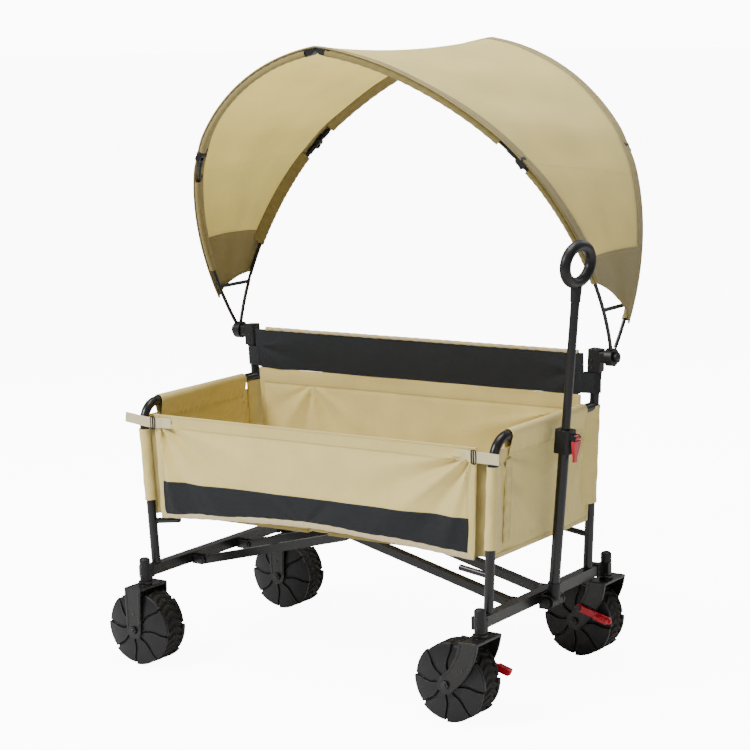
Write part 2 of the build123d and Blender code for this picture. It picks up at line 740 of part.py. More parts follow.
with BuildPart() as handle_grip:
    grip_plane = Plane(origin=handle_plane(GRIP_S).origin, x_dir=(0, 1, 0), z_dir=handle_side.x_dir)
    with BuildLine(grip_plane) as ring:
        EllipticalCenterArc((0, 0), GRIP_HALF_W, GRIP_HALF_H, start_angle=0, arc_size=360)
    with BuildSketch(section_plane(ring.line)):
        Circle(GRIP_R)
    sweep(path=ring.line)
    with BuildSketch(handle_plane(ring_low - FERRULE)):
        Circle(UPPER_R + 1.5)
    with BuildSketch(handle_plane(ring_low + 4)):
        Circle(UPPER_R + 3)
    loft()
    with BuildSketch(handle_plane(ring_low - FERRULE)):
        Circle(UPPER_R)
    extrude(amount=FERRULE - 6, mode=Mode.SUBTRACT)
handle_grip.part.label = "handle_grip"
export_step(handle_grip.part, "parts/handle_grip.step")


# ---- Canopy clamps on the tall posts, each with its tilt pin ----
def make_canopy_clamp(end):
    """A block closed over the post's top, an arm, and a headed pin along X."""
    with BuildPart() as clamp:
        with BuildSketch(lean_cross(end, POST_Y, CLAMP_LOW)):
            RectangleRounded(CLAMP_W, CLAMP_W, 6)
        extrude(amount=up_post(BACK_POST_Z) - up_post(CLAMP_LOW) + CAP_H)
        with BuildSketch(Plane.YZ.offset(end * CLAMP_ARM_IN)):
            with Locations((POST_Y, CANOPY_Z)):
                RectangleRounded(CLAMP_ARM_W, CLAMP_ARM_H, 5)
        extrude(amount=end * (CLAMP_ARM_OUT - CLAMP_ARM_IN))
        with BuildSketch(lean_cross(end, POST_Y)):
            Circle(TUBE_R + 0.02)
        extrude(amount=up_post(BACK_POST_Z) + 0.5, mode=Mode.SUBTRACT)
        with BuildSketch(Plane.YZ.offset(end * CLAMP_ARM_OUT)):
            with Locations((POST_Y, CANOPY_Z)):
                Circle(PIN_R)
        extrude(amount=end * (PIN_HEAD_X - CLAMP_ARM_OUT))
        with BuildSketch(Plane.YZ.offset(end * PIN_HEAD_X)):
            with Locations((POST_Y, CANOPY_Z)):
                Circle(HUB_DISC_R - 9)
        extrude(amount=end * CAP_H)
    return clamp


# ---- Canopy poles, joints and fabric ----
def make_canopy_hub(end):
    """The round hub that turns on the tilt pin and holds both lower poles."""
    with BuildPart() as hub:
        with BuildSketch(Plane.YZ.offset(end * HUB_IN)):
            with Locations((POST_Y, CANOPY_Z)):
                Circle(HUB_DISC_R)
                Circle(PIN_R + RUNNING, mode=Mode.SUBTRACT)
        extrude(amount=end * HUB_THICK)
    return hub


def lower_path(end, side):
    """A lower pole's middle line, from the hub to the shoulder."""
    foot = (end * POLE_FOOT[0], POLE_FOOT[1])
    with BuildLine(arch_plane(side)) as path:
        ThreePointArc(foot, (end * ARCH_BULGE[0], ARCH_BULGE[1]), (end * SHOULDER[0], SHOULDER[1]))
    return path.edges()[0]


def upper_path(end, side):
    """An upper pole's middle line, from the shoulder to the top."""
    with BuildLine(arch_plane(side)) as path:
        shoulder = (end * SHOULDER[0], SHOULDER[1])
        ThreePointArc(shoulder, (end * ARCH_MIDDLE[0], ARCH_MIDDLE[1]), (0, ARCH_TOP))
    return path.edges()[0]


def make_lower_poles(end):
    """Both lower poles and the flat strut that spreads them."""
    with BuildPart() as poles:
        for side in SIDES.values():
            path = lower_path(end, side)
            with BuildSketch(section_plane(path)):
                Circle(POLE_R)
                Circle(POLE_R - POLE_WALL, mode=Mode.SUBTRACT)
            sweep(path=path.trim(0, 1 - JOINT_CLEAR / path.length))
        half = STRUT_H * sin(radians(ARCH_TILT)) - 1
        strut_z = CANOPY_Z + STRUT_H * cos(radians(ARCH_TILT))
        with BuildSketch(side_plane(POST_Y - half)):
            with Locations((end * STRUT_X, strut_z)):
                Rectangle(PLATE, STRUT_W)
        extrude(amount=-2 * half)
    return poles


def make_shoulder_joints(end):
    """Forked joint ends with their pins, on the lower poles."""
    with BuildPart() as joints:
        for side in SIDES.values():
            path = lower_path(end, side)
            centre = path @ 1
            tangent = path % 1
            along = Vector(tangent.X, 0, tangent.Z).normalized()
            with BuildSketch(Plane(origin=centre - tangent * SLEEVE_END, z_dir=tangent)):
                Circle(JOINT_SLEEVE_R)
            extrude(amount=SLEEVE_END - JOINT_CLEAR)
            for inner in (CHEEK_IN, -CHEEK_IN - CHEEK_T):
                cheek_plane = Plane(origin=centre + Vector(0, inner, 0), x_dir=along, z_dir=(0, -1, 0))
                with BuildSketch(cheek_plane):
                    Circle(CHEEK_R)
                    with Locations((-CHEEK_L / 2, 0)):
                        Rectangle(CHEEK_L, 2 * CHEEK_R - 4)
                extrude(amount=-CHEEK_T)
            web_plane = Plane(origin=centre - Vector(0, CHEEK_IN + CHEEK_T, 0), x_dir=along, z_dir=(0, -1, 0))
            with BuildSketch(web_plane):
                with Locations((CHEEK_WEB / 2 - CHEEK_L, 0)):
                    Rectangle(CHEEK_WEB, 2 * CHEEK_R - 4)
            extrude(amount=-2 * (CHEEK_IN + CHEEK_T))
            pin_plane = Plane(origin=centre - Vector(0, PIN_HALF, 0), x_dir=along, z_dir=(0, -1, 0))
            with BuildSketch(pin_plane):
                Circle(JOINT_PIN_R)
            extrude(amount=-2 * PIN_HALF)
            with BuildSketch(section_plane(path)):
                Circle(POLE_R)
            sweep(path=path.trim(0, 1 - JOINT_CLEAR / path.length), mode=Mode.SUBTRACT)
    return joints


def make_upper_poles(end):
    """Both upper poles, between the shoulder joint and the block at the top."""
    with BuildPart() as poles:
        for side in SIDES.values():
            path = upper_path(end, side)
            length = path.length
            with BuildSketch(section_plane(path, JOINT_CLEAR / length)):
                Circle(POLE_R)
                Circle(POLE_R - POLE_WALL, mode=Mode.SUBTRACT)
            sweep(path=path.trim(JOINT_CLEAR / length, 1 - TOP_BLOCK_BORE / length))
    return poles


def make_upper_ends(end):
    """The tongues at the shoulders and the folding blocks at the top of the upper poles."""
    with BuildPart() as ends:
        for side in SIDES.values():
            path = upper_path(end, side)
            length = path.length
            shoulder = path @ 0
            tangent = path % 0
            along = Vector(tangent.X, 0, tangent.Z).normalized()
            with BuildSketch(Plane(origin=shoulder + Vector(0, TONGUE_HALF, 0), x_dir=along, z_dir=(0, 1, 0))):
                Circle(CHEEK_R - 0.5)
                with Locations((TONGUE_L / 2, 0)):
                    Rectangle(TONGUE_L, 2 * CHEEK_R - 5)
            extrude(amount=-2 * TONGUE_HALF)
            with BuildSketch(Plane(origin=shoulder + tangent * TONGUE_SLEEVE, z_dir=tangent)):
                Circle(JOINT_SLEEVE_R)
            extrude(amount=SLEEVE_END - TONGUE_SLEEVE)
            with BuildSketch(Plane(origin=shoulder + Vector(0, 2 * PIN_HALF, 0), z_dir=(0, 1, 0))):
                Circle(JOINT_PIN_R + RUNNING)
            extrude(amount=-4 * PIN_HALF, mode=Mode.SUBTRACT)
            top = path @ 1
            top_plane = Plane(origin=top - Vector(0, TOP_BLOCK_W / 2, 0), x_dir=(1, 0, 0), z_dir=(0, -1, 0))
            with BuildSketch(top_plane):
                with BuildLine():
                    Polyline(
                        (end * 1, TOP_BLOCK_H),
                        (end * 1, 0),
                        (end * 10, -TOP_BLOCK_H),
                        (end * TOP_BLOCK_L, -TOP_BLOCK_H - 6),
                        (end * TOP_BLOCK_L, TOP_BLOCK_H - 6),
                        close=True,
                    )
                make_face()
            extrude(amount=-TOP_BLOCK_W)
            with BuildSketch(section_plane(path, JOINT_CLEAR / length)):
                Circle(POLE_R)
            bore = path.trim(JOINT_CLEAR / length, 1 - TOP_BLOCK_BORE / length)
            sweep(path=bore, mode=Mode.SUBTRACT)
    return ends


def off_curve(curve, at, distance, end):
    """A point beside a curve drawn upwards in the XZ plane, away from the wagon's middle."""
    t = curve % at
    point = curve @ at + Vector(t.Z, 0, -t.X).normalized() * (end * distance)
    return (point.X, point.Z)


def make_sheet(end, start, middle, finish, low_gap, high_gap):
    """Fabric stretched between both arches over one stretch of their outline."""
    with BuildLine(Plane.XZ) as spine:
        ThreePointArc(start, middle, finish)
    curve = spine.edges()[0]
    first, last = low_gap / curve.length, 1 - high_gap / curve.length
    half = (first + last) / 2
    inner = [off_curve(curve, at, SHEET_IN, end) for at in (first, half, last)]
    outer = [off_curve(curve, at, SHEET_OUT, end) for at in (last, half, first)]
    foot = (POST_Y, CANOPY_Z - SHEET_EDGE / sin(radians(ARCH_TILT)))
    rise = 2 * ARCH_TOP
    spread = rise * tan(radians(ARCH_TILT))
    with BuildPart() as sheet:
        with BuildSketch(Plane.XZ):
            with BuildLine():
                ThreePointArc(*inner)
                Line(inner[2], outer[0])
                ThreePointArc(*outer)
                Line(outer[2], inner[0])
            make_face()
        extrude(amount=2 * ARCH_TOP, both=True)
        with BuildSketch(Plane.YZ.offset(-ARCH_TOP)):
            with BuildLine():
                Polyline(foot, (foot[0] + spread, foot[1] + rise), (foot[0] - spread, foot[1] + rise), close=True)
            make_face()
        extrude(amount=2 * ARCH_TOP, mode=Mode.INTERSECT)
    return sheet


def outline_point(end, x, h):
    """A point of the arches' common outline, seen along Y."""
    return (end * x, CANOPY_Z + h * cos(radians(ARCH_TILT)))


for end_name, end in ENDS.items():
    canopy_clamp = make_canopy_clamp(end)
    canopy_clamp.part.label = f"{end_name}_canopy_clamp"
    export_step(canopy_clamp.part, f"parts/{end_name}_canopy_clamp.step")

    canopy_hub = make_canopy_hub(end)
    canopy_hub.part.label = f"{end_name}_canopy_hub"
    export_step(canopy_hub.part, f"parts/{end_name}_canopy_hub.step")

    lower_poles = make_lower_poles(end)
    lower_poles.part.label = f"{end_name}_lower_poles"
    export_step(lower_poles.part, f"parts/{end_name}_lower_poles.step")

    shoulder_joints = make_shoulder_joints(end)
    shoulder_joints.part.label = f"{end_name}_shoulder_joints"
    export_step(shoulder_joints.part, f"parts/{end_name}_shoulder_joints.step")

    upper_poles = make_upper_poles(end)
    upper_poles.part.label = f"{end_name}_upper_poles"
    export_step(upper_poles.part, f"parts/{end_name}_upper_poles.step")

    upper_ends = make_upper_ends(end)
    upper_ends.part.label = f"{end_name}_upper_ends"
    export_step(upper_ends.part, f"parts/{end_name}_upper_ends.step")

    foot_point = outline_point(end, *POLE_FOOT)
    bulge_point = outline_point(end, *ARCH_BULGE)
    shoulder_point = outline_point(end, *SHOULDER)
    middle_point = outline_point(end, *ARCH_MIDDLE)
    top_point = outline_point(end, 0, ARCH_TOP)
    canopy_side = make_sheet(end, foot_point, bulge_point, shoulder_point, SHEET_LOW, SHEET_GAP)
    canopy_side.part.label = f"{end_name}_canopy_side"
    export_step(canopy_side.part, f"parts/{end_name}_canopy_side.step")
    canopy_top = make_sheet(end, shoulder_point, middle_point, top_point, SHEET_GAP, 1)
    canopy_top.part.label = f"{end_name}_canopy_top"
    export_step(canopy_top.part, f"parts/{end_name}_canopy_top.step")


# ---- Basket fabric ----
for end_name, end in ENDS.items():
    with BuildPart() as end_panel:
        with BuildSketch(lean_plane(end)):
            with Locations((0, (up_post(PANEL_BOTTOM) + up_post(END_PANEL_TOP)) / 2)):
                height = up_post(END_PANEL_TOP) - up_post(PANEL_BOTTOM)
                RectangleRounded(2 * (POST_Y - TUBE_R - 1), height, CORNER_R - TUBE_R - 1)
        extrude(amount=FABRIC / 2, both=True)
    end_panel.part.label = f"{end_name}_end_panel"
    export_step(end_panel.part, f"parts/{end_name}_end_panel.step")

with BuildPart() as near_side_panel:
    with BuildSketch(side_plane(NEAR_PANEL_Y - FABRIC)):
        with BuildLine():
            Line((-PANEL_HALF_TOP, PANEL_TOP), (PANEL_HALF_TOP, PANEL_TOP))
            Line((PANEL_HALF_TOP, PANEL_TOP), (PANEL_HALF_LOW, PANEL_BOTTOM))
            ThreePointArc((PANEL_HALF_LOW, PANEL_BOTTOM), (0, PANEL_BOTTOM + BOW), (-PANEL_HALF_LOW, PANEL_BOTTOM))
            Line((-PANEL_HALF_LOW, PANEL_BOTTOM), (-PANEL_HALF_TOP, PANEL_TOP))
        make_face()
    extrude(amount=-FABRIC)
near_side_panel.part.label = "near_side_panel"
export_step(near_side_panel.part, "parts/near_side_panel.step")

with BuildPart() as far_side_panel:
    with BuildSketch(side_plane(FAR_PANEL_Y)):
        with BuildLine():
            Polyline(
                (-PANEL_HALF_LOW - 12, PANEL_BOTTOM),
                (PANEL_HALF_LOW + 12, PANEL_BOTTOM),
                (PANEL_HALF_TOP + 12, BAND_LOW - 1),
                (-PANEL_HALF_TOP - 12, BAND_LOW - 1),
                close=True,
            )
        make_face()
    extrude(amount=-FABRIC)
far_side_panel.part.label = "far_side_panel"
export_step(far_side_panel.part, "parts/far_side_panel.step")

with BuildPart() as back_band:
    with BuildSketch(side_plane(FAR_PANEL_Y - 1)):
        with Locations((0, (BAND_LOW + BAND_TOP) / 2)):
            RectangleRounded(2 * BAND_HALF, BAND_TOP - BAND_LOW, 18)
    extrude(amount=-FABRIC - 1)
back_band.part.label = "back_band"
export_step(back_band.part, "parts/back_band.step")

# ---- Webbing straps that tie the near panel to its posts, each with a ladder slider ----
for end_name, end in ENDS.items():
    with BuildPart() as panel_strap:
        with BuildSketch(side_plane(-POST_Y - TUBE_R - 1 - STRAP_T)):
            with Locations((end * (STRAP_IN + STRAP_OUT) / 2, STRAP_Z)):
                Rectangle(STRAP_OUT - STRAP_IN, STRAP_W)
        extrude(amount=-STRAP_T)
        with BuildSketch(side_plane(-POST_Y - TUBE_R - 1 - STRAP_T - SLIDER_T)):
            with Locations((end * (STRAP_IN + 12), STRAP_Z)):
                RectangleRounded(SLIDER_W, SLIDER_H, 2)
        extrude(amount=-SLIDER_T)
    panel_strap.part.label = f"{end_name}_panel_strap"
    export_step(panel_strap.part, f"parts/{end_name}_panel_strap.step")
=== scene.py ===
"""A folding fabric wagon with a two-arch canopy: the looks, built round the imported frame."""

import json
import math

import bmesh
import bpy
import numpy as np
from mathutils import Matrix, Vector


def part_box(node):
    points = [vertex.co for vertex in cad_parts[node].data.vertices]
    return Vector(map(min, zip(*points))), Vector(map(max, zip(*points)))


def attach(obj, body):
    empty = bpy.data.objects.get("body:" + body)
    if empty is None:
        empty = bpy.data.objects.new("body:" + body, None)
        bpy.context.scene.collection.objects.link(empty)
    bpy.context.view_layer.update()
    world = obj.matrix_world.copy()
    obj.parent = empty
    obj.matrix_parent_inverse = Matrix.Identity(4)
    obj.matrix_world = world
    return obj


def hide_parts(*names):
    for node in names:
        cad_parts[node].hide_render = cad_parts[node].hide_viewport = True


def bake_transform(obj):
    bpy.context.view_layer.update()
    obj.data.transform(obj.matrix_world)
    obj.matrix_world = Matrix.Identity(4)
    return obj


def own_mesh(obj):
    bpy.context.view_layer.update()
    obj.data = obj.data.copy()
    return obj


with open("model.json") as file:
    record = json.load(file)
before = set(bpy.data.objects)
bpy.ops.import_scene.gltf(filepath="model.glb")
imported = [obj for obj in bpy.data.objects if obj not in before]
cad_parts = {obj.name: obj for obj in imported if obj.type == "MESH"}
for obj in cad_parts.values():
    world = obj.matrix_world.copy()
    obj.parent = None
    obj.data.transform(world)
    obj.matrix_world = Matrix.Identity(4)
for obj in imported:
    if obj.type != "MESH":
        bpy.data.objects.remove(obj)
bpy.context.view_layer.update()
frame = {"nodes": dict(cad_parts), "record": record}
nodes = frame["nodes"]

# ---- Dimensions, metres ----
POST_X = 0.470
POST_FOOT = 0.229
POST_Y = 0.225
TUBE_R = 0.011
LEAN = math.radians(3.2)
TOP_TUBE_Z = 0.618
PANEL_BOTTOM = 0.346
PANEL_TOP = 0.596
PANEL_HALF_LOW = 0.440
PANEL_HALF_TOP = 0.452
PANEL_Y = -0.230
BOW = 0.024
NEAR_HEM_Z = 0.5655
NEAR_BAND_TOP = 0.437
PULL_Z = 0.585
FAR_Y = 0.209
FAR_LOW = 0.3475
FAR_HIGH = 0.6445
FAR_HEM_Z = 0.6075
FAR_HALF_LOW = 0.452
FAR_HALF_TOP = 0.464
BAND_Y = 0.2085
BAND_LOW = 0.645
BAND_TOP = 0.743
BAND_HALF = 0.474
BAND_CORNER = 0.018
WALL_HALF = 0.2125
WALL_LOW = 0.347
WALL_TOP = 0.590
HEM_FOOT = 0.570
STRAP_Z = 0.578
SLIDER_X = 0.449
SLIDER_Y = -0.2412
ARCH_Z = 0.735
ARCH_TILT = math.radians(27.5)
ARCH_FOOT = (0.542, 0.023)
ARCH_BULGE = (0.541, 0.263)
SHOULDER = (0.447, 0.526)
ARCH_MIDDLE = (0.251, 0.708)
ARCH_TOP = (0.0, 0.805)
SHEET_OFF = 0.0112
SHEET_EDGE = 0.006
WHEEL_Y = 0.287
AXLE_Z = 0.09
REAR_STEM_X = -0.454
FRONT_STEM_X = 0.486
TRAIL = 0.060
SIDES = {"near": -1, "far": 1}
ENDS = {"rear": -1, "front": 1}


# ---- Mesh kit ----
class Shape:
    """The vertices, faces and UVs of one piece. UVs are metres of cloth."""

    def __init__(self):
        self.verts = []
        self.faces = []
        self.uvs = []

    def add(self, verts, faces, uvs=None):
        """Append a closed mesh."""
        start = len(self.verts)
        verts = np.asarray(verts, float).reshape(-1, 3)
        self.verts.extend(verts.tolist())
        self.uvs.extend(np.asarray(verts[:, :2] if uvs is None else uvs, float).reshape(-1, 2).tolist())
        self.faces.extend([[start + i for i in face] for face in faces])


def quads(rows, columns, wrap_rows=False, wrap_columns=False, start=0):
    """Faces of a grid of rows x columns vertices."""
    r = np.arange(rows if wrap_rows else rows - 1)
    c = np.arange(columns if wrap_columns else columns - 1)
    rr, cc = np.meshgrid(r, c, indexing="ij")
    up, right = (rr + 1) % rows, (cc + 1) % columns
    corners = [rr * columns + cc, rr * columns + right, up * columns + right, up * columns + cc]
    return (np.stack(corners, -1).reshape(-1, 4) + start).tolist()


def shell(shape, outer, inner, uvs, wrap=False):
    """A closed skin between two grids of the same size; wrap closes it round the columns."""
    rows, columns = outer.shape[:2]
    count = rows * columns
    index = np.arange(count).reshape(rows, columns)
    faces = quads(rows, columns, wrap_columns=wrap)
    faces += [face[::-1] for face in quads(rows, columns, wrap_columns=wrap, start=count)]
    rims = [(index[0], False), (index[-1], True)]
    if wrap:
        rims = [(np.append(line, line[0]), flip) for line, flip in rims]
    else:
        rims += [(index[:, 0], True), (index[:, -1], False)]
    for line, flip in rims:
        for a, b in zip(line[:-1].tolist(), line[1:].tolist()):
            face = [a, a + count, b + count, b]
            faces.append(face[::-1] if flip else face)
    shape.add(np.concatenate([outer.reshape(-1, 3), inner.reshape(-1, 3)]), faces,
              np.concatenate([uvs.reshape(-1, 2)] * 2))


def row(low, high, count):
    """Evenly spaced values along the rows of a grid."""
    return np.linspace(low, high, count)[None, :]


def column(low, high, count):
    """Evenly spaced values down the columns of a grid."""
    return np.linspace(low, high, count)[:, None]


def spread(first, second):
    """A grid of pairs, one list down its columns and the other along its rows."""
    return np.stack(np.meshgrid(first, second, indexing="ij"), -1)


def unit(v):
    return v / np.maximum(np.linalg.norm(v, axis=-1, keepdims=True), 1e-12)


def along(points):
    """Distance of each point from the first, along the path."""
    return np.concatenate([[0], np.cumsum(np.linalg.norm(np.diff(points, axis=0), axis=1))])


def resample(points, count, *others):
    """The path at evenly spaced distances, with any per-point values carried along."""
    length = along(points)
    at = np.linspace(0, length[-1], count)
    out = [np.stack([np.interp(at, length, values[:, k]) for k in range(values.shape[1])], 1)
           for values in (points, *others)]
    return out[0] if not others else out


def sweep(shape, path, profile, up, closed=False, size=None):
    """A closed outline of (side, up) offsets carried along a path."""
    path, profile = np.asarray(path, float), np.asarray(profile, float)
    if closed:
        tangent = unit(np.roll(path, -1, 0) - np.roll(path, 1, 0))
    else:
        tangent = unit(np.gradient(path, axis=0))
    side = unit(np.cross(tangent, np.broadcast_to(up, path.shape)))
    normal = np.cross(side, tangent)
    scale = np.ones(len(path)) if size is None else np.asarray(size, float)
    offsets = side[:, None] * profile[None, :, :1] + normal[:, None] * profile[None, :, 1:]
    rings = path[:, None] + offsets * scale[:, None, None]
    count = len(profile)
    faces = quads(len(path), count, wrap_rows=closed, wrap_columns=True)
    if not closed:
        faces.append(list(range(count))[::-1])
        faces.append([(len(path) - 1) * count + i for i in range(count)])
    around = along(np.vstack([profile, profile[:1]]))[:-1]
    shape.add(rings, faces, spread(along(path), around))


def oval(half_side, half_up, count=10, power=1.0):
    """An outline from a circle to a rounded box as power drops below one."""
    a = np.linspace(0, 2 * math.pi, count, endpoint=False)
    wide, tall = (np.sign(way) * np.abs(way) ** power for way in (np.cos(a), np.sin(a)))
    return np.stack([half_side * wide, half_up * tall], 1)


def belt(big, small, reach, lift=0.0, count=28):
    """The outline round a big circle at the origin and a small one at (reach, lift)."""
    turn = math.atan2(lift, reach)
    distance = math.hypot(reach, lift)
    open_angle = math.acos((big - small) / distance)
    back = np.linspace(open_angle, 2 * math.pi - open_angle, count * 2 // 3) + turn
    tip = np.linspace(-open_angle, open_angle, count // 4) + turn
    arc = np.stack([big * np.cos(back), big * np.sin(back)], 1)
    nose = np.stack([reach + small * np.cos(tip), lift + small * np.sin(tip)], 1)
    sides = [np.linspace(a, b, 5)[1:-1] for a, b in ((arc[-1], nose[0]), (nose[-1], arc[0]))]
    return np.concatenate([arc, sides[0], nose, sides[1]])


class Surface:
    """A grid of points, rows x columns, sampled by fractions: u along a row, v from row to row."""

    def __init__(self, grid):
        self.grid = grid
        self.normal = unit(np.cross(np.gradient(grid, axis=1), np.gradient(grid, axis=0)))
        self.width = along(grid[len(grid) // 2])[-1]
        self.height = along(grid[:, grid.shape[1] // 2])[-1]

    def pick(self, values, u, v):
        rows, columns = self.grid.shape[:2]
        x = np.clip(np.asarray(u, float), 0, 1) * (columns - 1)
        y = np.clip(np.asarray(v, float), 0, 1) * (rows - 1)
        c, r = np.minimum(x.astype(int), columns - 2), np.minimum(y.astype(int), rows - 2)
        fx, fy = (x - c)[..., None], (y - r)[..., None]
        low = values[r, c] * (1 - fx) + values[r, c + 1] * fx
        high = values[r + 1, c] * (1 - fx) + values[r + 1, c + 1] * fx
        return low * (1 - fy) + high * fy

    def at(self, u, v, lift=0.0):
        u, v = np.broadcast_arrays(u, v)
        return self.pick(self.grid, u, v) + self.up(u, v) * np.asarray(lift)[..., None]

    def up(self, u, v):
        u, v = np.broadcast_arrays(u, v)
        return unit(self.pick(self.normal, u, v))


def patch(shape, surface, u, v, lift, thick, columns, rows, soft=0.0):
    """A closed slab on a surface. u and v are (start, end); v's may be arrays over the columns.
    lift is its middle's height, and soft thins its long edges by that share."""
    s = column(0, 1, rows)
    uu = row(u[0], u[1], columns) * np.ones((rows, 1))
    vv = np.asarray(v[0]) * (1 - s) + np.asarray(v[1]) * s
    vv = vv * np.ones((rows, columns))
    crown = 1 - soft * np.abs(2 * s - 1) ** 4 * np.ones((1, columns))
    uvs = np.stack([uu * surface.width, vv * surface.height], -1)
    half = thick / 2 * crown
    shell(shape, surface.at(uu, vv, lift + half), surface.at(uu, vv, lift - half), uvs)


def stitches(shape, path, normal, pitch=0.005, length=0.0032, thread=0.00045):
    """A row of thread stitches lying along a path."""
    path = np.asarray(path, float)
    normal = np.broadcast_to(normal, path.shape)
    total = along(path)[-1]
    count = max(2, int(total / pitch))
    points, normals = resample(path, count, normal)
    tangent = unit(np.gradient(points, axis=0))
    normals = unit(normals)
    side = unit(np.cross(tangent, normals))
    up = normals * thread
    wide = side * thread
    tips = tangent * length / 2
    offsets = (-tips, up, wide, -up, -wide, tips)
    verts = np.stack([points + offset for offset in offsets], 1)
    one = [(0, 1, 2), (0, 2, 3), (0, 3, 4), (0, 4, 1), (5, 2, 1), (5, 3, 2), (5, 4, 3), (5, 1, 4)]
    faces = [[6 * k + i for i in face] for k in range(count) for face in one]
    shape.add(verts, faces)


def seam(shape, surface, u, v, *lifts):
    """Stitches along a line of fractions on a surface, once for each lift."""
    u, v = np.broadcast_arrays(np.asarray(u, float), np.asarray(v, float))
    for lift in lifts:
        stitches(shape, surface.at(u, v, lift), surface.up(u, v))


def make(name, shape, material, body=None, angle=40, place=None):
    """Turn a shape into a piece that rides on a body."""
    mesh = bpy.data.meshes.new(name)
    mesh.from_pydata(shape.verts, [], shape.faces)
    mesh.validate()
    layer = mesh.uv_layers.new(name="cloth")
    corners = np.empty(len(mesh.loops), int)
    mesh.loops.foreach_get("vertex_index", corners)
    layer.data.foreach_set("uv", np.asarray(shape.uvs)[corners].ravel())
    work = bmesh.new()
    work.from_mesh(mesh)
    bmesh.ops.recalc_face_normals(work, faces=work.faces)
    work.to_mesh(mesh)
    work.free()
    mesh.polygons.foreach_set("use_smooth", [True] * len(mesh.polygons))
    mesh.set_sharp_from_angle(angle=math.radians(angle))
    mesh.materials.append(material)
    piece = bpy.data.objects.new(name, mesh)
    bpy.context.scene.collection.objects.link(piece)
    if place is not None:
        piece.location = place
    if body:
        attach(piece, body)
    return piece


# ---- Materials ----
class Nodes:
    """A short way to write a material's node tree."""

    def __init__(self, name):
        self.material = bpy.data.materials.new(name)
        self.material.use_nodes = True
        self.tree = self.material.node_tree
        self.shader = self.tree.nodes["Principled BSDF"]
        self.output = self.tree.nodes["Material Output"]

    def add(self, kind, inputs=None, **settings):
        node = self.tree.nodes.new(kind)
        for key, value in settings.items():
            setattr(node, key, value)
        for key, value in (inputs or {}).items():
            self.put(node.inputs[key], value)
        return node

    def put(self, socket, value):
        if isinstance(value, bpy.types.NodeSocket):
            self.tree.links.new(value, socket)
        else:
            socket.default_value = value

    def math(self, operation, a, b=0.0):
        return self.add("ShaderNodeMath", {0: a, 1: b, 2: 0.0}, operation=operation).outputs[0]

    def noise(self, vector, scale, detail=3.0, rough=0.5, distortion=0.0):
        node = self.add("ShaderNodeTexNoise", {"Vector": vector, "Scale": scale, "Detail": detail,
                                               "Roughness": rough, "Distortion": distortion})
        return node.outputs[0]

    def span(self, value, low, high, out_low=0.0, out_high=1.0):
        ends = {1: low, 2: high, 3: out_low, 4: out_high}
        return self.add("ShaderNodeMapRange", {0: value, **ends}).outputs[0]

    def stretch(self, vector, scale):
        return self.add("ShaderNodeMapping", {"Vector": vector, "Scale": scale}).outputs[0]

    def mix(self, share, a, b):
        node = self.add("ShaderNodeMix", {0: share}, data_type="RGBA")
        self.put(node.inputs[6], a)
        self.put(node.inputs[7], b)
        return node.outputs[2]

    def bump(self, height, distance, strength=1.0, normal=None):
        node = self.add("ShaderNodeBump", {"Height": height, "Distance": distance, "Strength": strength})
        if normal is not None:
            self.put(node.inputs["Normal"], normal)
        return node.outputs[0]

    def set(self, **values):
        for key, value in values.items():
            self.put(self.shader.inputs[key.replace("_", " ")], value)


def shade(colour, factor):
    return tuple(min(1.0, c * factor) for c in colour[:3]) + (1.0,)


def cloth(name, colour, thread=0.0011, weave=0.00012, rough=0.82, sheen=0.25, crumple=0.0012,
          glow=0.0, fleck=0.12):
    """Plain-weave polyester: crossing threads, slight colour drift and small crumples."""
    n = Nodes(name)
    uv = n.add("ShaderNodeUVMap", uv_map="cloth").outputs[0]
    split = n.add("ShaderNodeSeparateXYZ", {0: uv})
    wave = [n.math("SINE", n.math("MULTIPLY", split.outputs[k], 2 * math.pi / thread)) for k in (0, 1)]
    threads = n.math("MULTIPLY", wave[0], wave[1])
    drift = n.noise(uv, 9.0, 4.0, 0.55)
    slub = n.noise(n.stretch(uv, (60.0, 900.0, 1.0)), 1.0, 2.0)
    tone = n.math("ADD", n.span(drift, 0.3, 0.7, -0.5, 0.5), n.span(slub, 0.3, 0.7, -0.35, 0.35))
    # The colour also follows the thread bumps, darker in the dips of the weave: painted shade, on top of the
    # random drift and slub.
    tone = n.math("ADD", tone, n.math("MULTIPLY", threads, 0.35))
    base = n.mix(n.span(tone, -1.0, 1.0), shade(colour, 1 - fleck), shade(colour, 1 + fleck))
    coarse = n.bump(n.noise(uv, 14.0, 3.0, 0.45, 0.6), crumple)
    fine = n.bump(threads, weave, 0.9, coarse)
    n.set(Base_Color=base, Roughness=n.span(drift, 0.3, 0.7, rough - 0.06, rough + 0.06), Normal=fine,
          Sheen_Weight=sheen, Sheen_Roughness=0.5, Specular_IOR_Level=0.25)
    if glow:
        through = n.add("ShaderNodeBsdfTranslucent", {"Color": base, "Normal": coarse})
        blend = n.add("ShaderNodeMixShader", {0: glow, 1: n.shader.outputs[0], 2: through.outputs[0]})
        n.put(n.output.inputs[0], blend.outputs[0])
    return n.material


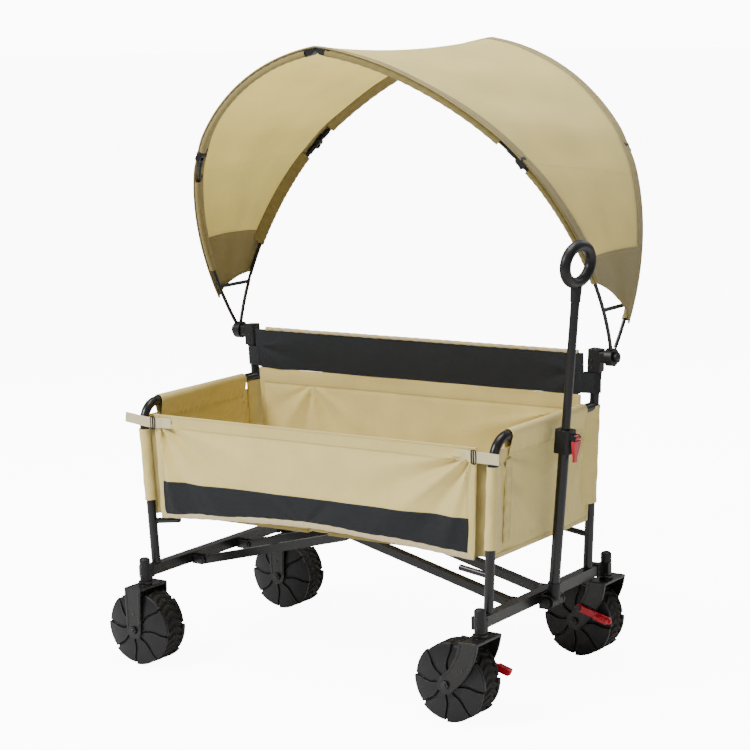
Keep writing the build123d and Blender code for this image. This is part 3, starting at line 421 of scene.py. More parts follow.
def webbing(name, colour, rib=0.0022, across=0):
    """Ribbed woven tape; across picks the direction the ribs run."""
    n = Nodes(name)
    uv = n.add("ShaderNodeUVMap", uv_map="cloth").outputs[0]
    split = n.add("ShaderNodeSeparateXYZ", {0: uv})
    ribs = n.math("SINE", n.math("MULTIPLY", split.outputs[across], 2 * math.pi / rib))
    cross = n.math("SINE", n.math("MULTIPLY", split.outputs[1 - across], 2 * math.pi / (rib * 0.6)))
    height = n.math("ADD", ribs, n.math("MULTIPLY", cross, n.math("MULTIPLY", ribs, 0.5)))
    fuzz = n.noise(uv, 420.0, 3.0)
    # The tape's colour darkens down into the grooves between the ribs and lightens on their tops: painted
    # shade and highlight, mixed with random fuzz.
    base = n.mix(n.span(n.math("ADD", height, n.math("MULTIPLY", fuzz, 1.6)), -1.4, 2.4),
                 shade(colour, 0.52), shade(colour, 1.2))
    n.set(Base_Color=base, Roughness=0.85, Sheen_Weight=0.3, Specular_IOR_Level=0.2,
          Normal=n.bump(height, 0.0005, 1.0, n.bump(fuzz, 0.0004)))
    return n.material


def hard(name, colour, rough, grain=900.0, depth=0.00003, metallic=0.0, wear=0.0,
         wear_colour=(0.2, 0.2, 0.2, 1), coat=0.0, drift=0.06, brushed=False):
    """Moulded plastic, rubber or coated metal, with grain, drift in its sheen and rubbed edges."""
    n = Nodes(name)
    at = n.add("ShaderNodeTexCoord").outputs["Object"]
    slow = n.noise(at, 14.0, 4.0, 0.6)
    fine = n.noise(n.stretch(at, (0.06, 1.0, 1.0)) if brushed else at, grain, 2.0, 0.6)
    base = n.mix(n.span(slow, 0.3, 0.7), shade(colour, 0.86), shade(colour, 1.14))
    normal = n.bump(fine, depth)
    if wear:
        round_normal = n.add("ShaderNodeBevel", {"Radius": 0.0014}, samples=4).outputs[0]
        flat = n.add("ShaderNodeNewGeometry").outputs["Normal"]
        bend = n.add("ShaderNodeVectorMath", {0: round_normal, 1: flat}, operation="DOT_PRODUCT")
        patchy = n.noise(at, 60.0, 4.0, 0.65)
        rubbed = n.math("MULTIPLY", n.span(bend.outputs["Value"], 0.995, 0.9), n.span(patchy, 0.42, 0.62))
        base = n.mix(n.math("MULTIPLY", rubbed, wear), base, wear_colour)
        normal = n.bump(fine, depth, 1.0, round_normal)
    n.set(Base_Color=base, Roughness=n.span(n.math("ADD", slow, n.math("MULTIPLY", fine, 0.5)), 0.35, 1.1,
                                            rough - drift, rough + drift),
          Metallic=metallic, Normal=normal, Coat_Weight=coat, Coat_Roughness=0.25, Specular_IOR_Level=0.24)
    return n.material


def sewing(name, colour, rough):
    """Twisted sewing thread."""
    return hard(name, colour, rough, grain=2500.0, depth=0.0001)


BEIGE = (0.66, 0.53, 0.185)
INK = (0.009, 0.0105, 0.0125)
beige = cloth("beige_cloth", BEIGE)
beige_rough = cloth("beige_cloth_double", shade(BEIGE, 0.9), crumple=0.002)
# Olive cloth: the floor boards' colour, and painted shade on the strips in the gaps by the near posts.
olive_and_painted_shade = cloth("olive_cloth_and_painted_shade", (0.30, 0.235, 0.075), crumple=0.0016)
ink = cloth("black_cloth", INK, rough=0.70, sheen=0.03, crumple=0.0022, fleck=0.2)
canopy_cloth = cloth("canopy_cloth", (0.78, 0.69, 0.32), thread=0.0013, crumple=0.0006,
                     glow=0.6, fleck=0.07)
# Dark olive for the doubled canopy cloth of the hems, pole sleeves and foot patches: painted shade, standing
# in for the light the doubled cloth keeps out and the shadow it lies in.
canopy_double_painted_shade = cloth("doubled_canopy_cloth_painted_shade", (0.27, 0.21, 0.065), crumple=0.0014, glow=0.22)
tape = webbing("binding_tape", (0.68, 0.56, 0.30), rib=0.0035)
strap_tape = webbing("strap_webbing", (0.82, 0.71, 0.42), rib=0.0025)
thread_light = sewing("thread_light", (0.55, 0.45, 0.25), 0.7)
thread_dark = sewing("thread_dark", (0.10, 0.075, 0.035), 0.7)
thread_black = sewing("thread_black", (0.05, 0.05, 0.055), 0.6)
paint = hard("black_paint", (0.0085, 0.0080, 0.0080), 0.30, grain=1500.0, depth=0.00002, wear=0.35,
             coat=0.15)
plastic = hard("black_moulding", (0.0085, 0.0085, 0.0090), 0.42, grain=2600.0, depth=0.00005, wear=0.25,
               wear_colour=(0.10, 0.10, 0.10, 1))
steel = hard("dark_zinc", (0.035, 0.035, 0.037), 0.36, grain=1200.0, depth=0.00002, metallic=0.6, wear=0.3,
             wear_colour=(0.25, 0.25, 0.25, 1), brushed=True)
disc_plastic = hard("wheel_moulding", (0.0105, 0.0100, 0.0110), 0.40, grain=1900.0, depth=0.00006, wear=0.3,
                    wear_colour=(0.13, 0.13, 0.13, 1))
rubber = hard("tyre_rubber", (0.0095, 0.0085, 0.0075), 0.66, grain=1300.0, depth=0.00012, wear=0.3,
              wear_colour=(0.10, 0.095, 0.09, 1))
red = hard("red_moulding", (0.42, 0.008, 0.020), 0.38, grain=1800.0, depth=0.00003, wear=0.25,
           wear_colour=(0.75, 0.15, 0.18, 1), coat=0.2)
HARD = {"black_frame": paint, "black_plastic": plastic, "dark_steel": steel, "wheel_plastic": disc_plastic,
        "tyre_rubber": rubber, "red_plastic": red, "floor_board": olive_and_painted_shade}

for subpart in frame["record"]["subparts"]:
    node = nodes[subpart["node"]]
    node.data.materials.clear()
    node.data.materials.append(HARD.get(subpart["material_slot"], beige))


# ---- Shared shape rules ----
def post_x(z):
    """Distance of a leaning post's middle from the wagon's middle at height z."""
    return POST_X + (z - POST_FOOT) * math.tan(LEAN)


def lean_point(end, y, z, out=0.0):
    """A point on an end frame's plane, moved outwards by out."""
    y, z, out = np.broadcast_arrays(np.asarray(y, float), z, out)
    x = end * (post_x(z) + out * math.cos(LEAN))
    return np.stack([x, y, z - out * math.sin(LEAN)], -1)


def fan(x, z, source, reach, rays):
    """Height of soft folds that fan out from a point. rays are (angle in degrees, spread, height)."""
    dx, dz = x - source[0], z - source[1]
    t = np.hypot(dx, dz) / reach
    angle = np.degrees(np.arctan2(dz, dx))
    total = np.zeros_like(t)
    for at, spread, height in rays:
        off = (angle - at + 180) % 360 - 180
        total += height * np.exp(-(off / spread) ** 2)
    return total * np.minimum(t / 0.12, 1) * np.exp(-t ** 2)


def ripple(x, z, seed, count, size, height):
    """Sum of a few broad random waves, always the same for one seed."""
    rng = np.random.default_rng(seed)
    total = np.zeros(np.broadcast(x, z).shape)
    for _ in range(count):
        angle, phase = rng.uniform(0, math.pi), rng.uniform(0, 2 * math.pi)
        length = size * rng.uniform(0.6, 1.5)
        total += np.sin((x * math.cos(angle) + z * math.sin(angle)) * 2 * math.pi / length + phase)
    return total * height / count


def smooth(low, high, x):
    t = np.clip((x - low) / (high - low), 0, 1)
    return t * t * (3 - 2 * t)


def arc_through(a, b, c, count):
    """Points on the circle arc from a through b to c."""
    a, b, c = (np.asarray(p, float) for p in (a, b, c))
    m = np.array([b - a, c - b])
    middle = np.linalg.solve(m, np.array([m[0] @ (a + b) / 2, m[1] @ (b + c) / 2]))
    start, mid, end = (math.atan2(*(p - middle)[::-1]) for p in (a, b, c))
    turn = (end - start) % (2 * math.pi)
    if (mid - start) % (2 * math.pi) > turn:
        turn -= 2 * math.pi
    t = np.linspace(start, start + turn, count)
    return middle + np.linalg.norm(a - middle) * np.stack([np.cos(t), np.sin(t)], 1)


# ---- CAD solids: softened edges ----
WELD_REACH = 0.00001
EDGE_ROUND = 0.0007
for name, node in nodes.items():
    node.data.polygons.foreach_set("use_smooth", [True] * len(node.data.polygons))
    if "custom_normal" in node.data.attributes:
        node.data.attributes.remove(node.data.attributes["custom_normal"])
    node.modifiers.new("weld", "WELD").merge_threshold = WELD_REACH
    flat = node.modifiers.new("flat", "DECIMATE")
    flat.decimate_type = "DISSOLVE"
    flat.angle_limit = math.radians(0.6)
    edge = node.modifiers.new("edge", "BEVEL")
    edge.width = EDGE_ROUND
    edge.segments = 2
    edge.limit_method = "ANGLE"
    edge.angle_limit = math.radians(38)
    edge.harden_normals = True


# ---- Near side panel ----
def panel_low(x):
    """Height of the near panel's lower edge: a low tent with a soft peak."""
    t = np.abs(x) / PANEL_HALF_LOW
    return PANEL_BOTTOM + BOW * (0.45 * (1 - t ** 2) + 0.55 * (1 - np.sqrt(t ** 2 + 0.004)))


COLUMNS, ROWS = 181, 61
u = row(-1, 1, COLUMNS)
v = column(0, 1, ROWS)
half = PANEL_HALF_LOW + (PANEL_HALF_TOP - PANEL_HALF_LOW) * v
x = u * half
low = panel_low(x)
z = low + (PANEL_TOP - low) * v
hold = smooth(0, 0.10, v) * smooth(0, 0.12, 1 - v) * smooth(0, 0.04, 1 - np.abs(u))
bulge = fan(x, z, (-0.447, PULL_Z), 0.30,
            [(-16, 5, 0.005), (-33, 5, -0.006), (-47, 5, 0.006), (-62, 5, -0.005), (-76, 4, 0.005)])
bulge += fan(x, z, (0.447, PULL_Z), 0.30,
             [(-168, 4, 0.004), (-157, 5, -0.006), (-144, 5, 0.007), (-128, 6, -0.006), (-112, 5, 0.005)])
bulge = 1.5 * bulge + ripple(x, z, 4, 7, 0.34, 0.006) + ripple(x, z, 11, 6, 0.12, 0.0018)
bulge += fan(x, z, (-0.02, 0.372), 0.16,
             [(18, 7, 0.004), (40, 8, -0.004), (140, 8, 0.003), (162, 7, -0.003)])
near = Surface(np.stack([x, PANEL_Y - bulge * hold, z], -1))


def near_v(u, height):
    """Fraction up the near panel of a height, at fractions u along it."""
    at = (2 * np.asarray(u, float) - 1) * PANEL_HALF_LOW
    return (height - panel_low(at)) / (PANEL_TOP - panel_low(at))


def soft_piece(name, shape, material, body):
    """A fabric piece that spans the basket's length, given a mesh of its own."""
    piece = make(name, shape, material, body)
    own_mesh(piece)
    return piece


shape = Shape()
patch(shape, near, (0, 1), (0, 1), 0.0, 0.0015, COLUMNS, ROWS)
near_sheet = soft_piece("near_panel_sheet", shape, beige, "near_panel")
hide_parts("near_side_panel")

us = np.linspace(0, 1, COLUMNS)
shape = Shape()
patch(shape, near, (0, 1), (near_v(us, NEAR_HEM_Z), 1.0), 0.0012, 0.0016, COLUMNS, 7, soft=0.5)
top_edge = near.at(us, 1.0, 0.0006)
sweep(shape, top_edge, oval(0.0022, 0.0019, 8), (0, 0, 1))
up_side = np.linspace(0, 1, ROWS)
for at in (0.010, 0.990):
    sweep(shape, near.at(at, up_side, 0.0006), oval(0.0085, 0.0026, 12, 0.7), (0, -1, 0),
          size=1 + 0.12 * np.sin(up_side * 17))
soft_piece("near_panel_hems", shape, beige_rough, "near_panel")

shape = Shape()
patch(shape, near, (0.006, 0.988), (near_v(us, panel_low((2 * us - 1) * PANEL_HALF_LOW) + 0.010),
                                    near_v(us, NEAR_BAND_TOP)), 0.0013, 0.0012, COLUMNS, 21, soft=0.3)
soft_piece("near_panel_black_band", shape, ink, "near_panel")

shape = Shape()
edge_path = near.at(us, 0.0, 0.0004) + np.array([0, 0, 0.0052])
sweep(shape, edge_path, oval(0.0068, 0.0030, 12, 0.75), (0, -1, 0), size=1 + 0.07 * np.sin(us * 150))
soft_piece("near_panel_binding", shape, tape, "near_panel")

shape = Shape()
inner_us = np.linspace(0.012, 0.984, COLUMNS)
for at in (NEAR_HEM_Z + 0.0020, PANEL_TOP - 0.0035):
    seam(shape, near, inner_us, near_v(inner_us, at), 0.0022)
for at in (0.0215, 0.0255, 0.9745, 0.9785):
    seam(shape, near, at, np.linspace(0.03, 0.97, 40), 0.0016)
soft_piece("near_panel_thread", shape, thread_dark, "near_panel")
shape = Shape()
seam(shape, near, inner_us, near_v(inner_us, NEAR_BAND_TOP - 0.0025), 0.0021)
above_low = panel_low((2 * inner_us - 1) * PANEL_HALF_LOW) + 0.0145
seam(shape, near, inner_us, near_v(inner_us, above_low), 0.0021)
soft_piece("near_panel_band_thread", shape, thread_black, "near_panel")

# ---- Far side: inner wall, black band and piping ----
x = u * (FAR_HALF_LOW + (FAR_HALF_TOP - FAR_HALF_LOW) * v)
z = FAR_LOW + (FAR_HIGH - FAR_LOW) * v * np.ones_like(u)
hold = smooth(0, 0.08, v) * smooth(0, 0.05, 1 - v) * smooth(0, 0.03, 1 - np.abs(u))
bulge = fan(x, z, (-0.30, 0.612), 0.22,
            [(-35, 8, 0.005), (-58, 7, -0.005), (-80, 7, 0.006), (-104, 7, -0.005), (-128, 8, 0.005),
             (-150, 8, -0.004)])
bulge += fan(x, z, (0.40, 0.60), 0.30,
             [(-165, 5, 0.005), (-150, 6, -0.005), (-132, 7, 0.006), (-112, 7, -0.004)])
bulge += ripple(x, z, 21, 7, 0.30, 0.005) + ripple(x, z, 5, 6, 0.10, 0.0015)
bulge -= 0.0016 * np.exp(-((z - (FAR_HEM_Z - 0.0005)) / 0.0035) ** 2)
far = Surface(np.stack([x, FAR_Y - bulge * hold, z], -1))
shape = Shape()
patch(shape, far, (0, 1), (0, 1), 0.0, 0.0015, COLUMNS, ROWS)
far_sheet = soft_piece("far_wall_sheet", shape, beige, "rear_frame")
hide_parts("far_side_panel")
shape = Shape()
hem_low = (FAR_HEM_Z - FAR_LOW) / (FAR_HIGH - FAR_LOW)
for lift in (0.0013, -0.0013):
    patch(shape, far, (0.004, 0.996), (hem_low, 1.0), lift, 0.0014, COLUMNS, 7, soft=0.4)
for at in (0.004, 0.996):
    sweep(shape, far.at(at, up_side, 0.0), oval(0.006, 0.0026, 10, 0.7), (0, -1, 0))
sweep(shape, far.at(us, 0.0, 0.0) + np.array([0, 0, 0.004]), oval(0.005, 0.0026, 10, 0.7), (0, -1, 0))
soft_piece("far_wall_hems", shape, beige_rough, "rear_frame")
shape = Shape()
seam(shape, far, np.linspace(0.01, 0.99, 200), hem_low + 0.008, 0.0022, -0.0022)
for at in (0.012, 0.988):
    seam(shape, far, at, np.linspace(0.03, 0.97, 40), 0.0012)
soft_piece("far_wall_thread", shape, thread_dark, "rear_frame")

BAND_ROWS = 31
bv = column(0, 1, BAND_ROWS)
x = u * BAND_HALF * np.ones_like(bv)
inset = np.maximum(np.abs(x) - (BAND_HALF - BAND_CORNER), 0)
cut = BAND_CORNER - np.sqrt(np.maximum(BAND_CORNER ** 2 - np.minimum(inset, BAND_CORNER - 0.0006) ** 2, 0))
z = (BAND_LOW + cut) * (1 - bv) + BAND_TOP * bv
wave = ripple(x, z, 33, 7, 0.26, 0.0032) * smooth(0, 0.15, 1 - np.abs(u))
wave += fan(x, z, (-0.46, 0.70), 0.12, [(10, 9, 0.003), (-15, 9, -0.003), (-40, 9, 0.003)])
wave += fan(x, z, (0.46, 0.70), 0.12, [(170, 9, 0.003), (-165, 9, -0.003), (-140, 9, 0.003)])
band = Surface(np.stack([x, BAND_Y - wave, z], -1))
shape = Shape()
patch(shape, band, (0, 1), (0, 1), 0.0, 0.0028, COLUMNS, BAND_ROWS, soft=0.3)
band_sheet = soft_piece("back_band_sheet", shape, ink, "rear_frame")
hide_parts("back_band")
shape = Shape()
sweep(shape, band.at(np.linspace(0.035, 0.985, 240), 1.0, 0.0) + np.array([0, 0, 0.0022]),
      oval(0.0052, 0.0046, 12, 0.85), (0, 0, 1), size=1 + 0.08 * np.sin(np.linspace(0, 190, 240)))
soft_piece("back_band_piping", shape, tape, "rear_frame")
shape = Shape()
for lift in (0.0016, -0.0016):
    for at in (0.032, 0.040, 0.048, 0.952, 0.960, 0.968):
        seam(shape, band, at, np.linspace(0.08, 0.96, 30), lift)
    seam(shape, band, np.linspace(0.02, 0.98, 200), 0.035, lift)
soft_piece("back_band_thread", shape, thread_black, "rear_frame")


# ---- End panels with their hems, and the sleeves round the posts ----
def ring_sleeve(shape, end, y, low, high, tail, big=0.0134, small=0.0021, seed=1):
    """A fabric loop round a post; tail is the (x, y) place of its sewn edge from the post's middle."""
    reach, turn = math.hypot(*tail), math.atan2(tail[1], tail[0])
    c, s = math.cos(turn), math.sin(turn)
    rows, thick = 40, 0.0013
    outer, inner, uvs = [], [], []
    for k, z in enumerate(np.linspace(low, high, rows)):
        grow = 1 + 0.05 * (k in (0, 1, rows - 2, rows - 1))
        loops = [belt(big * grow, small, reach), belt(big * grow - thick, small - thick * 0.75, reach)]
        a = np.arctan2(loops[0][:, 1], loops[0][:, 0])
        wrinkle = 0.0005 * np.sin(a * 3 + z * 60 + seed) + 0.0005 * np.sin(a * 2 - z * 110 + seed * 2)
        far_out = np.linalg.norm(loops[0], axis=1)[:, None]
        loops[0] = loops[0] * (1 + np.maximum(wrinkle, -0.0002)[:, None] / far_out)
        for loop, grid in zip(loops, (outer, inner)):
            px = loop[:, 0] * c - loop[:, 1] * s
            py = loop[:, 0] * s + loop[:, 1] * c
            grid.append(np.stack([end * post_x(z) + px, y + py, np.full(len(loop), z)], -1))
        uvs.append(np.stack([along(loops[0]), np.full(len(loops[0]), z)], -1))
    shell(shape, np.array(outer), np.array(inner), np.array(uvs), wrap=True)


for end_name, end in ENDS.items():
    body = f"{end_name}_frame"
    ys = row(-WALL_HALF, WALL_HALF, 101)
    sv = column(0, 1, 51)
    z = (WALL_LOW + (WALL_TOP - WALL_LOW) * sv) * np.ones_like(ys)
    hold = smooth(0, 0.10, sv) * smooth(0, 0.08, 1 - sv) * smooth(0, 0.10, 1 - np.abs(ys) / WALL_HALF)
    folds = fan(ys, z, (-0.19, 0.57), 0.22,
                [(-20, 6, 0.004), (-42, 7, -0.004), (-66, 7, 0.005), (-84, 5, -0.004)])
    folds += fan(ys, z, (0.19, 0.57), 0.22, [(-160, 6, 0.004), (-138, 7, -0.004), (-114, 7, 0.005)])
    folds += ripple(ys, z, 60 + end, 7, 0.22, 0.006) + ripple(ys, z, 9 - end, 6, 0.07, 0.0012)
    grid = lean_point(end, ys * np.ones_like(sv), z, folds * hold)
    if end < 0:
        grid = grid[:, ::-1]
    wall = Surface(grid)
    shape = Shape()
    patch(shape, wall, (0, 1), (0, 1), 0.0, 0.0018, 101, 51)
    sheet = make(f"{end_name}_wall_sheet", shape, beige, body)
    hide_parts(f"{end_name}_end_panel")

    # The hem that wraps the top tube: down its outer face, over the tube and back inside.
    shape = Shape()
    wrap_r, cloth_t = TUBE_R + 0.0030, 0.0014
    angles = np.radians(np.linspace(-15, 195, 26))
    over, rise = wrap_r * np.cos(angles), TOP_TUBE_Z + wrap_r * np.sin(angles)
    outs, zs = (np.concatenate([np.linspace(first, bend[0], 10)[:-1], bend,
                                np.linspace(bend[-1], last, 10)[1:]])
                for first, bend, last in ((0.0030, over, -0.0030), (HEM_FOOT, rise, HEM_FOOT)))
    hem_y = np.linspace(-0.166, 0.168, 120)
    tangent = unit(np.stack([np.gradient(outs), np.gradient(zs)], 1))
    face = np.stack([tangent[:, 1], -tangent[:, 0]], 1)
    skins = []
    for depth in (0.0, -cloth_t):
        oo = (outs + face[:, 0] * depth)[:, None] + 0 * hem_y[None, :]
        zz = (zs + face[:, 1] * depth)[:, None] + 0 * hem_y[None, :]
        pucker = 0.0009 * np.sin(hem_y * 430 + np.sin(hem_y * 90) * 2)[None, :] * smooth(0.612, 0.575, zz)
        skins.append(lean_point(end, hem_y[None, :] + 0 * oo, zz, oo + pucker * np.sign(oo)))
    shell(shape, skins[0], skins[1], spread(along(np.stack([outs, zs], 1)), hem_y))
    make(f"{end_name}_wall_hem", shape, beige, body)

    shape = Shape()
    low_edge = lean_point(end, np.linspace(-0.205, 0.205, 80), WALL_LOW + 0.005, 0.0)
    sweep(shape, low_edge, oval(0.0062, 0.0032, 12, 0.75), (end, 0, 0))
    for y in (-0.2075, 0.2075):
        side_edge = lean_point(end, y, np.linspace(WALL_LOW + 0.003, WALL_TOP - 0.005, 40), 0.0)
        sweep(shape, side_edge, oval(0.0055, 0.0026, 10, 0.75), (end, 0, 0))
    strip = Surface(lean_point(end, row(-0.174, -0.148, 9), column(0.376, 0.564, 40),
                               0.0016 + 0.0011 * np.sin(column(0, 34, 40))))
    patch(shape, strip, (0, 1), (0, 1), 0.0, 0.0020, 9, 40)
    make(f"{end_name}_wall_binding", shape, beige_rough, body)

    shape = Shape()
    row_y = np.linspace(-0.160, 0.160, 90)
    for z0, out in ((HEM_FOOT + 0.003, 0.0054), (HEM_FOOT + 0.007, 0.0062)):
        for side in (1, -1):
            stitches(shape, lean_point(end, row_y, z0, side * out), (end * side, 0, 0))
    for y in (-0.172, -0.150):
        stitches(shape, lean_point(end, y, np.linspace(0.38, 0.56, 50), 0.0036), (end, 0, 0))
    make(f"{end_name}_wall_thread", shape, thread_dark, body)

    shape = Shape()
    near_low = 0.385 if end < 0 else 0.373
    ring_sleeve(shape, end, -POST_Y, near_low, 0.558, (0.0, 0.030), seed=1 + end)
    if end > 0:
        ring_sleeve(shape, end, POST_Y, 0.388, 0.620, (-0.002, -0.046), big=0.0140, seed=5)
    else:
        ring_sleeve(shape, end, POST_Y, 0.388, 0.610, (0.002, -0.040), seed=6)
    make(f"{end_name}_post_sleeves", shape, beige, body)
    shape = Shape()
    ring_sleeve(shape, end, POST_Y, 0.649, 0.698, (-end * 0.029, -0.0165), big=0.0142, small=0.0024, seed=8)
    make(f"{end_name}_band_wrap", shape, ink, body)

    # The dark olive strip that fills the gap between a near post and the panel's end: painted shade, a sheet
    # standing where the gap lies in shade.
    gap_z = np.linspace(0.352, 0.572, 40)
    shape = Shape()
    gx = end * np.stack([post_x(gap_z) - 0.011, post_x(gap_z) - 0.024, np.full(40, 0.436)], 1)
    gy = np.stack([np.full(40, -0.2185), -0.2165 + 0.0012 * np.sin(gap_z * 70), np.full(40, -0.2235)], 1)
    gap_shade_sheet = Surface(np.stack([gx, gy, gap_z[:, None] * np.ones((1, 3))], -1))
    patch(shape, gap_shade_sheet, (0, 1), (0, 1), 0.0, 0.0016, 13, 40)
    make(f"{end_name}_gap_shade_strip", shape, olive_and_painted_shade, body)

    # Strap, its free tail and its ladder slider.
    shape = Shape()
    tail = 0.530 if end < 0 else 0.516
    sx = np.array([0.400, 0.425, 0.440, 0.452, 0.470, 0.4885, 0.500, tail])
    sy = np.array([-0.2330, -0.2335, -0.2385, -0.2400, -0.2405, -0.2408, -0.2420, -0.2445])
    sz = STRAP_Z + (end < 0) * np.array([0, 0, 0, 0, 0.001, 0.003, 0.005, 0.009])
    strap_path = resample(np.stack([end * sx, sy, sz], 1), 60)
    sweep(shape, strap_path, oval(0.0125, 0.0008, 14, 0.35), (0, -1, 0))
    strap = make(f"{end_name}_strap_webbing", shape, strap_tape, body)
    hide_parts(f"{end_name}_panel_strap")
    shape = Shape()
    wide, tall = oval(0.0062, 0.0152, 40, 0.4).T
    ring = np.stack([end * SLIDER_X + wide, np.full(40, SLIDER_Y), STRAP_Z + tall], 1)
    sweep(shape, ring, oval(0.0013, 0.0015, 8), (0, -1, 0), closed=True)
    rung = [(end * SLIDER_X, SLIDER_Y - bow, STRAP_Z + rise)
            for bow, rise in ((0, -0.015), (0.0008, 0), (0, 0.015))]
    sweep(shape, rung, oval(0.0014, 0.0013, 8), (0, -1, 0))
    make(f"{end_name}_ladder_slider", shape, plastic, body)

# ---- Wheels: bladed covers on both faces and a chevron tread between them ----
BLADES = 8
LUGS = 30
TREAD_HALF = 0.0256
TREAD_FLOOR = 0.0848
TREAD_FOOT = 0.0815


def blade_slot(r, angle):
    """Signed distance to the nearest slot's middle, and the share of the way to the next slot."""
    bend = 0.12 * smooth(0.020, 0.042, r) - 0.10 * smooth(0.042, 0.078, r)
    share = ((angle + 0.13 - bend) * BLADES / (2 * math.pi)) % 1.0
    return (share - np.round(share)) * 2 * math.pi / BLADES * r, share


def face_height(r, angle):
    """Height of a wheel's face from its middle plane: a dome of overlapping blades."""
    away, share = blade_slot(r, angle)
    dome = 0.0434 - 0.0080 * np.maximum((r - 0.016) / 0.068, 0) ** 2.2
    window = smooth(0.0205, 0.026, r)
    slot = -0.0050 * (1 - smooth(0.0017, 0.0027, np.abs(away)))
    lip = 0.0009 * np.exp(-((np.abs(away) - 0.0034) / 0.0007) ** 2)
    tilt = -0.0014 * (share - 0.5) * smooth(0.03, 0.08, r)
    boss = 0.0018 * smooth(0.0195, 0.0175, r)
    return dome + (slot + lip + tilt) * window + boss


def rim_radius(angle):
    """The blades' outer edge, which steps out at each slot."""
    away, share = blade_slot(0.088, angle)
    return 0.0899 - 0.0034 * share - 0.0032 * (1 - smooth(0.0017, 0.0030, np.abs(away)))


WHEELS = {}
for side_name, side in SIDES.items():
    WHEELS[f"{side_name}_rear_wheel"] = (REAR_STEM_X, side * WHEEL_Y, AXLE_Z)
    WHEELS[f"{side_name}_front_wheel"] = (FRONT_STEM_X - TRAIL, side * WHEEL_Y, AXLE_Z)

angle = np.linspace(0, 2 * math.pi, BLADES * 54, endpoint=False)[None, :]
boss_radii = [0.0066, 0.0110, 0.0150, 0.0176, 0.0186, 0.0196]
radii = np.concatenate([boss_radii, np.linspace(0.0206, 0.0845, 42)])[:, None]
turn_over = np.radians(column(8, 90, 8))
sides = []
for side in (-1, 1):
    turned = angle if side < 0 else -angle
    face = np.stack([radii + 0 * angle, face_height(radii, turned)], -1)
    edge, brim = face[-1], rim_radius(turned)
    curve_r = edge[:, 0] + (brim - edge[:, 0]) * np.sin(turn_over)
    curve_y = edge[:, 1] - 0.0022 * (1 - np.cos(turn_over))
    band_y = np.array([0.0275, 0.0262, 0.0250])[:, None]
    band_r = brim - np.array([0.0003, 0.0008, 0.0060])[:, None]
    r = np.concatenate([face[:, :, 0], curve_r, band_r])
    y = side * np.concatenate([face[:, :, 1], curve_y, band_y + 0 * brim])
    sides.append(np.stack([r * np.cos(angle), y, r * np.sin(angle)], -1))
profile = np.concatenate([sides[0], sides[1][::-1]])
disc = Shape()
disc.add(profile, quads(*profile.shape[:2], wrap_rows=True, wrap_columns=True))

around = np.linspace(0, 2 * math.pi, LUGS * 14, endpoint=False)[None, :]
crest = np.linspace(0.0002 - TREAD_HALF, TREAD_HALF - 0.0002, 45)
yy = np.concatenate([[-TREAD_HALF], crest, [TREAD_HALF]])[:, None]
bar = (around * LUGS / (2 * math.pi) + np.abs(yy) * 30) % 1.0
lug = smooth(0.05, 0.17, bar) * smooth(0.66, 0.54, bar) * smooth(0.0008, 0.0022, np.abs(yy))
worn = 0.0004 * np.sin(around * 3) * np.sin(yy * 90)
shoulder = 0.0008 * (np.abs(yy) / TREAD_HALF) ** 4
tread_r = TREAD_FLOOR + 0.0034 * lug * smooth(TREAD_HALF, TREAD_HALF - 0.0016, np.abs(yy)) + worn - shoulder
foot = TREAD_FOOT * np.stack([np.cos(around), 0 * around, np.sin(around)], -1)
rings = np.stack([tread_r * np.cos(around), yy + 0 * around, tread_r * np.sin(around)], -1)
under = np.concatenate([foot + np.array([0, at, 0]) for at in (TREAD_HALF, -TREAD_HALF)])
tyre = Shape()
rings = np.concatenate([rings, under])
tyre.add(rings, quads(*rings.shape[:2], wrap_rows=True, wrap_columns=True))

for body, centre in WHEELS.items():
    piece = make(f"{body}_disc", disc, disc_plastic, body, angle=50, place=centre)
    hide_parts(body.replace("_wheel", "_rim"))
    piece = make(f"{body}_tread", tyre, rubber, body, angle=60, place=centre)
    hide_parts(body.replace("_wheel", "_tyre"))


# ---- Pressed ribs, lips and screws on the forks, sockets and clamps ----
def button(shape, centre, direction, radius, height):
    """A low domed screw head."""
    direction = unit(np.asarray(direction, float))
    across = unit(np.cross(direction, (0.3, 0.2, 0.9)))
    other = np.cross(direction, across)
    t = np.linspace(0, 2 * math.pi, 24, endpoint=False)[:, None]
    circle = across * np.cos(t) + other * np.sin(t)
    rings = [np.asarray(centre) + circle * radius * size + direction * height * rise
             for size, rise in ((1.0, -0.3), (1.0, 0.45), (0.85, 0.85), (0.5, 1.0))]
    faces = quads(4, 24, wrap_columns=True)
    faces += [list(range(24))[::-1], [72 + i for i in range(24)]]
    shape.add(np.concatenate(rings), faces)


def leg_lines(trail):
    """The middle lines of a fork leg's two pressed ribs, forward of the stem and up."""
    if not trail:
        fall = np.linspace(0.184, 0.094, 12)
        return [np.stack([np.linspace(x, x * 0.86, 12), fall], 1) for x in (0.0192, -0.0192)]
    front = arc_through((0.0195, 0.186), (0.0000, 0.131), (-0.0470, 0.0770), 30)
    back = arc_through((-0.0195, 0.186), (-0.0325, 0.150), (-0.0725, 0.1030), 30)
    return [front, back]


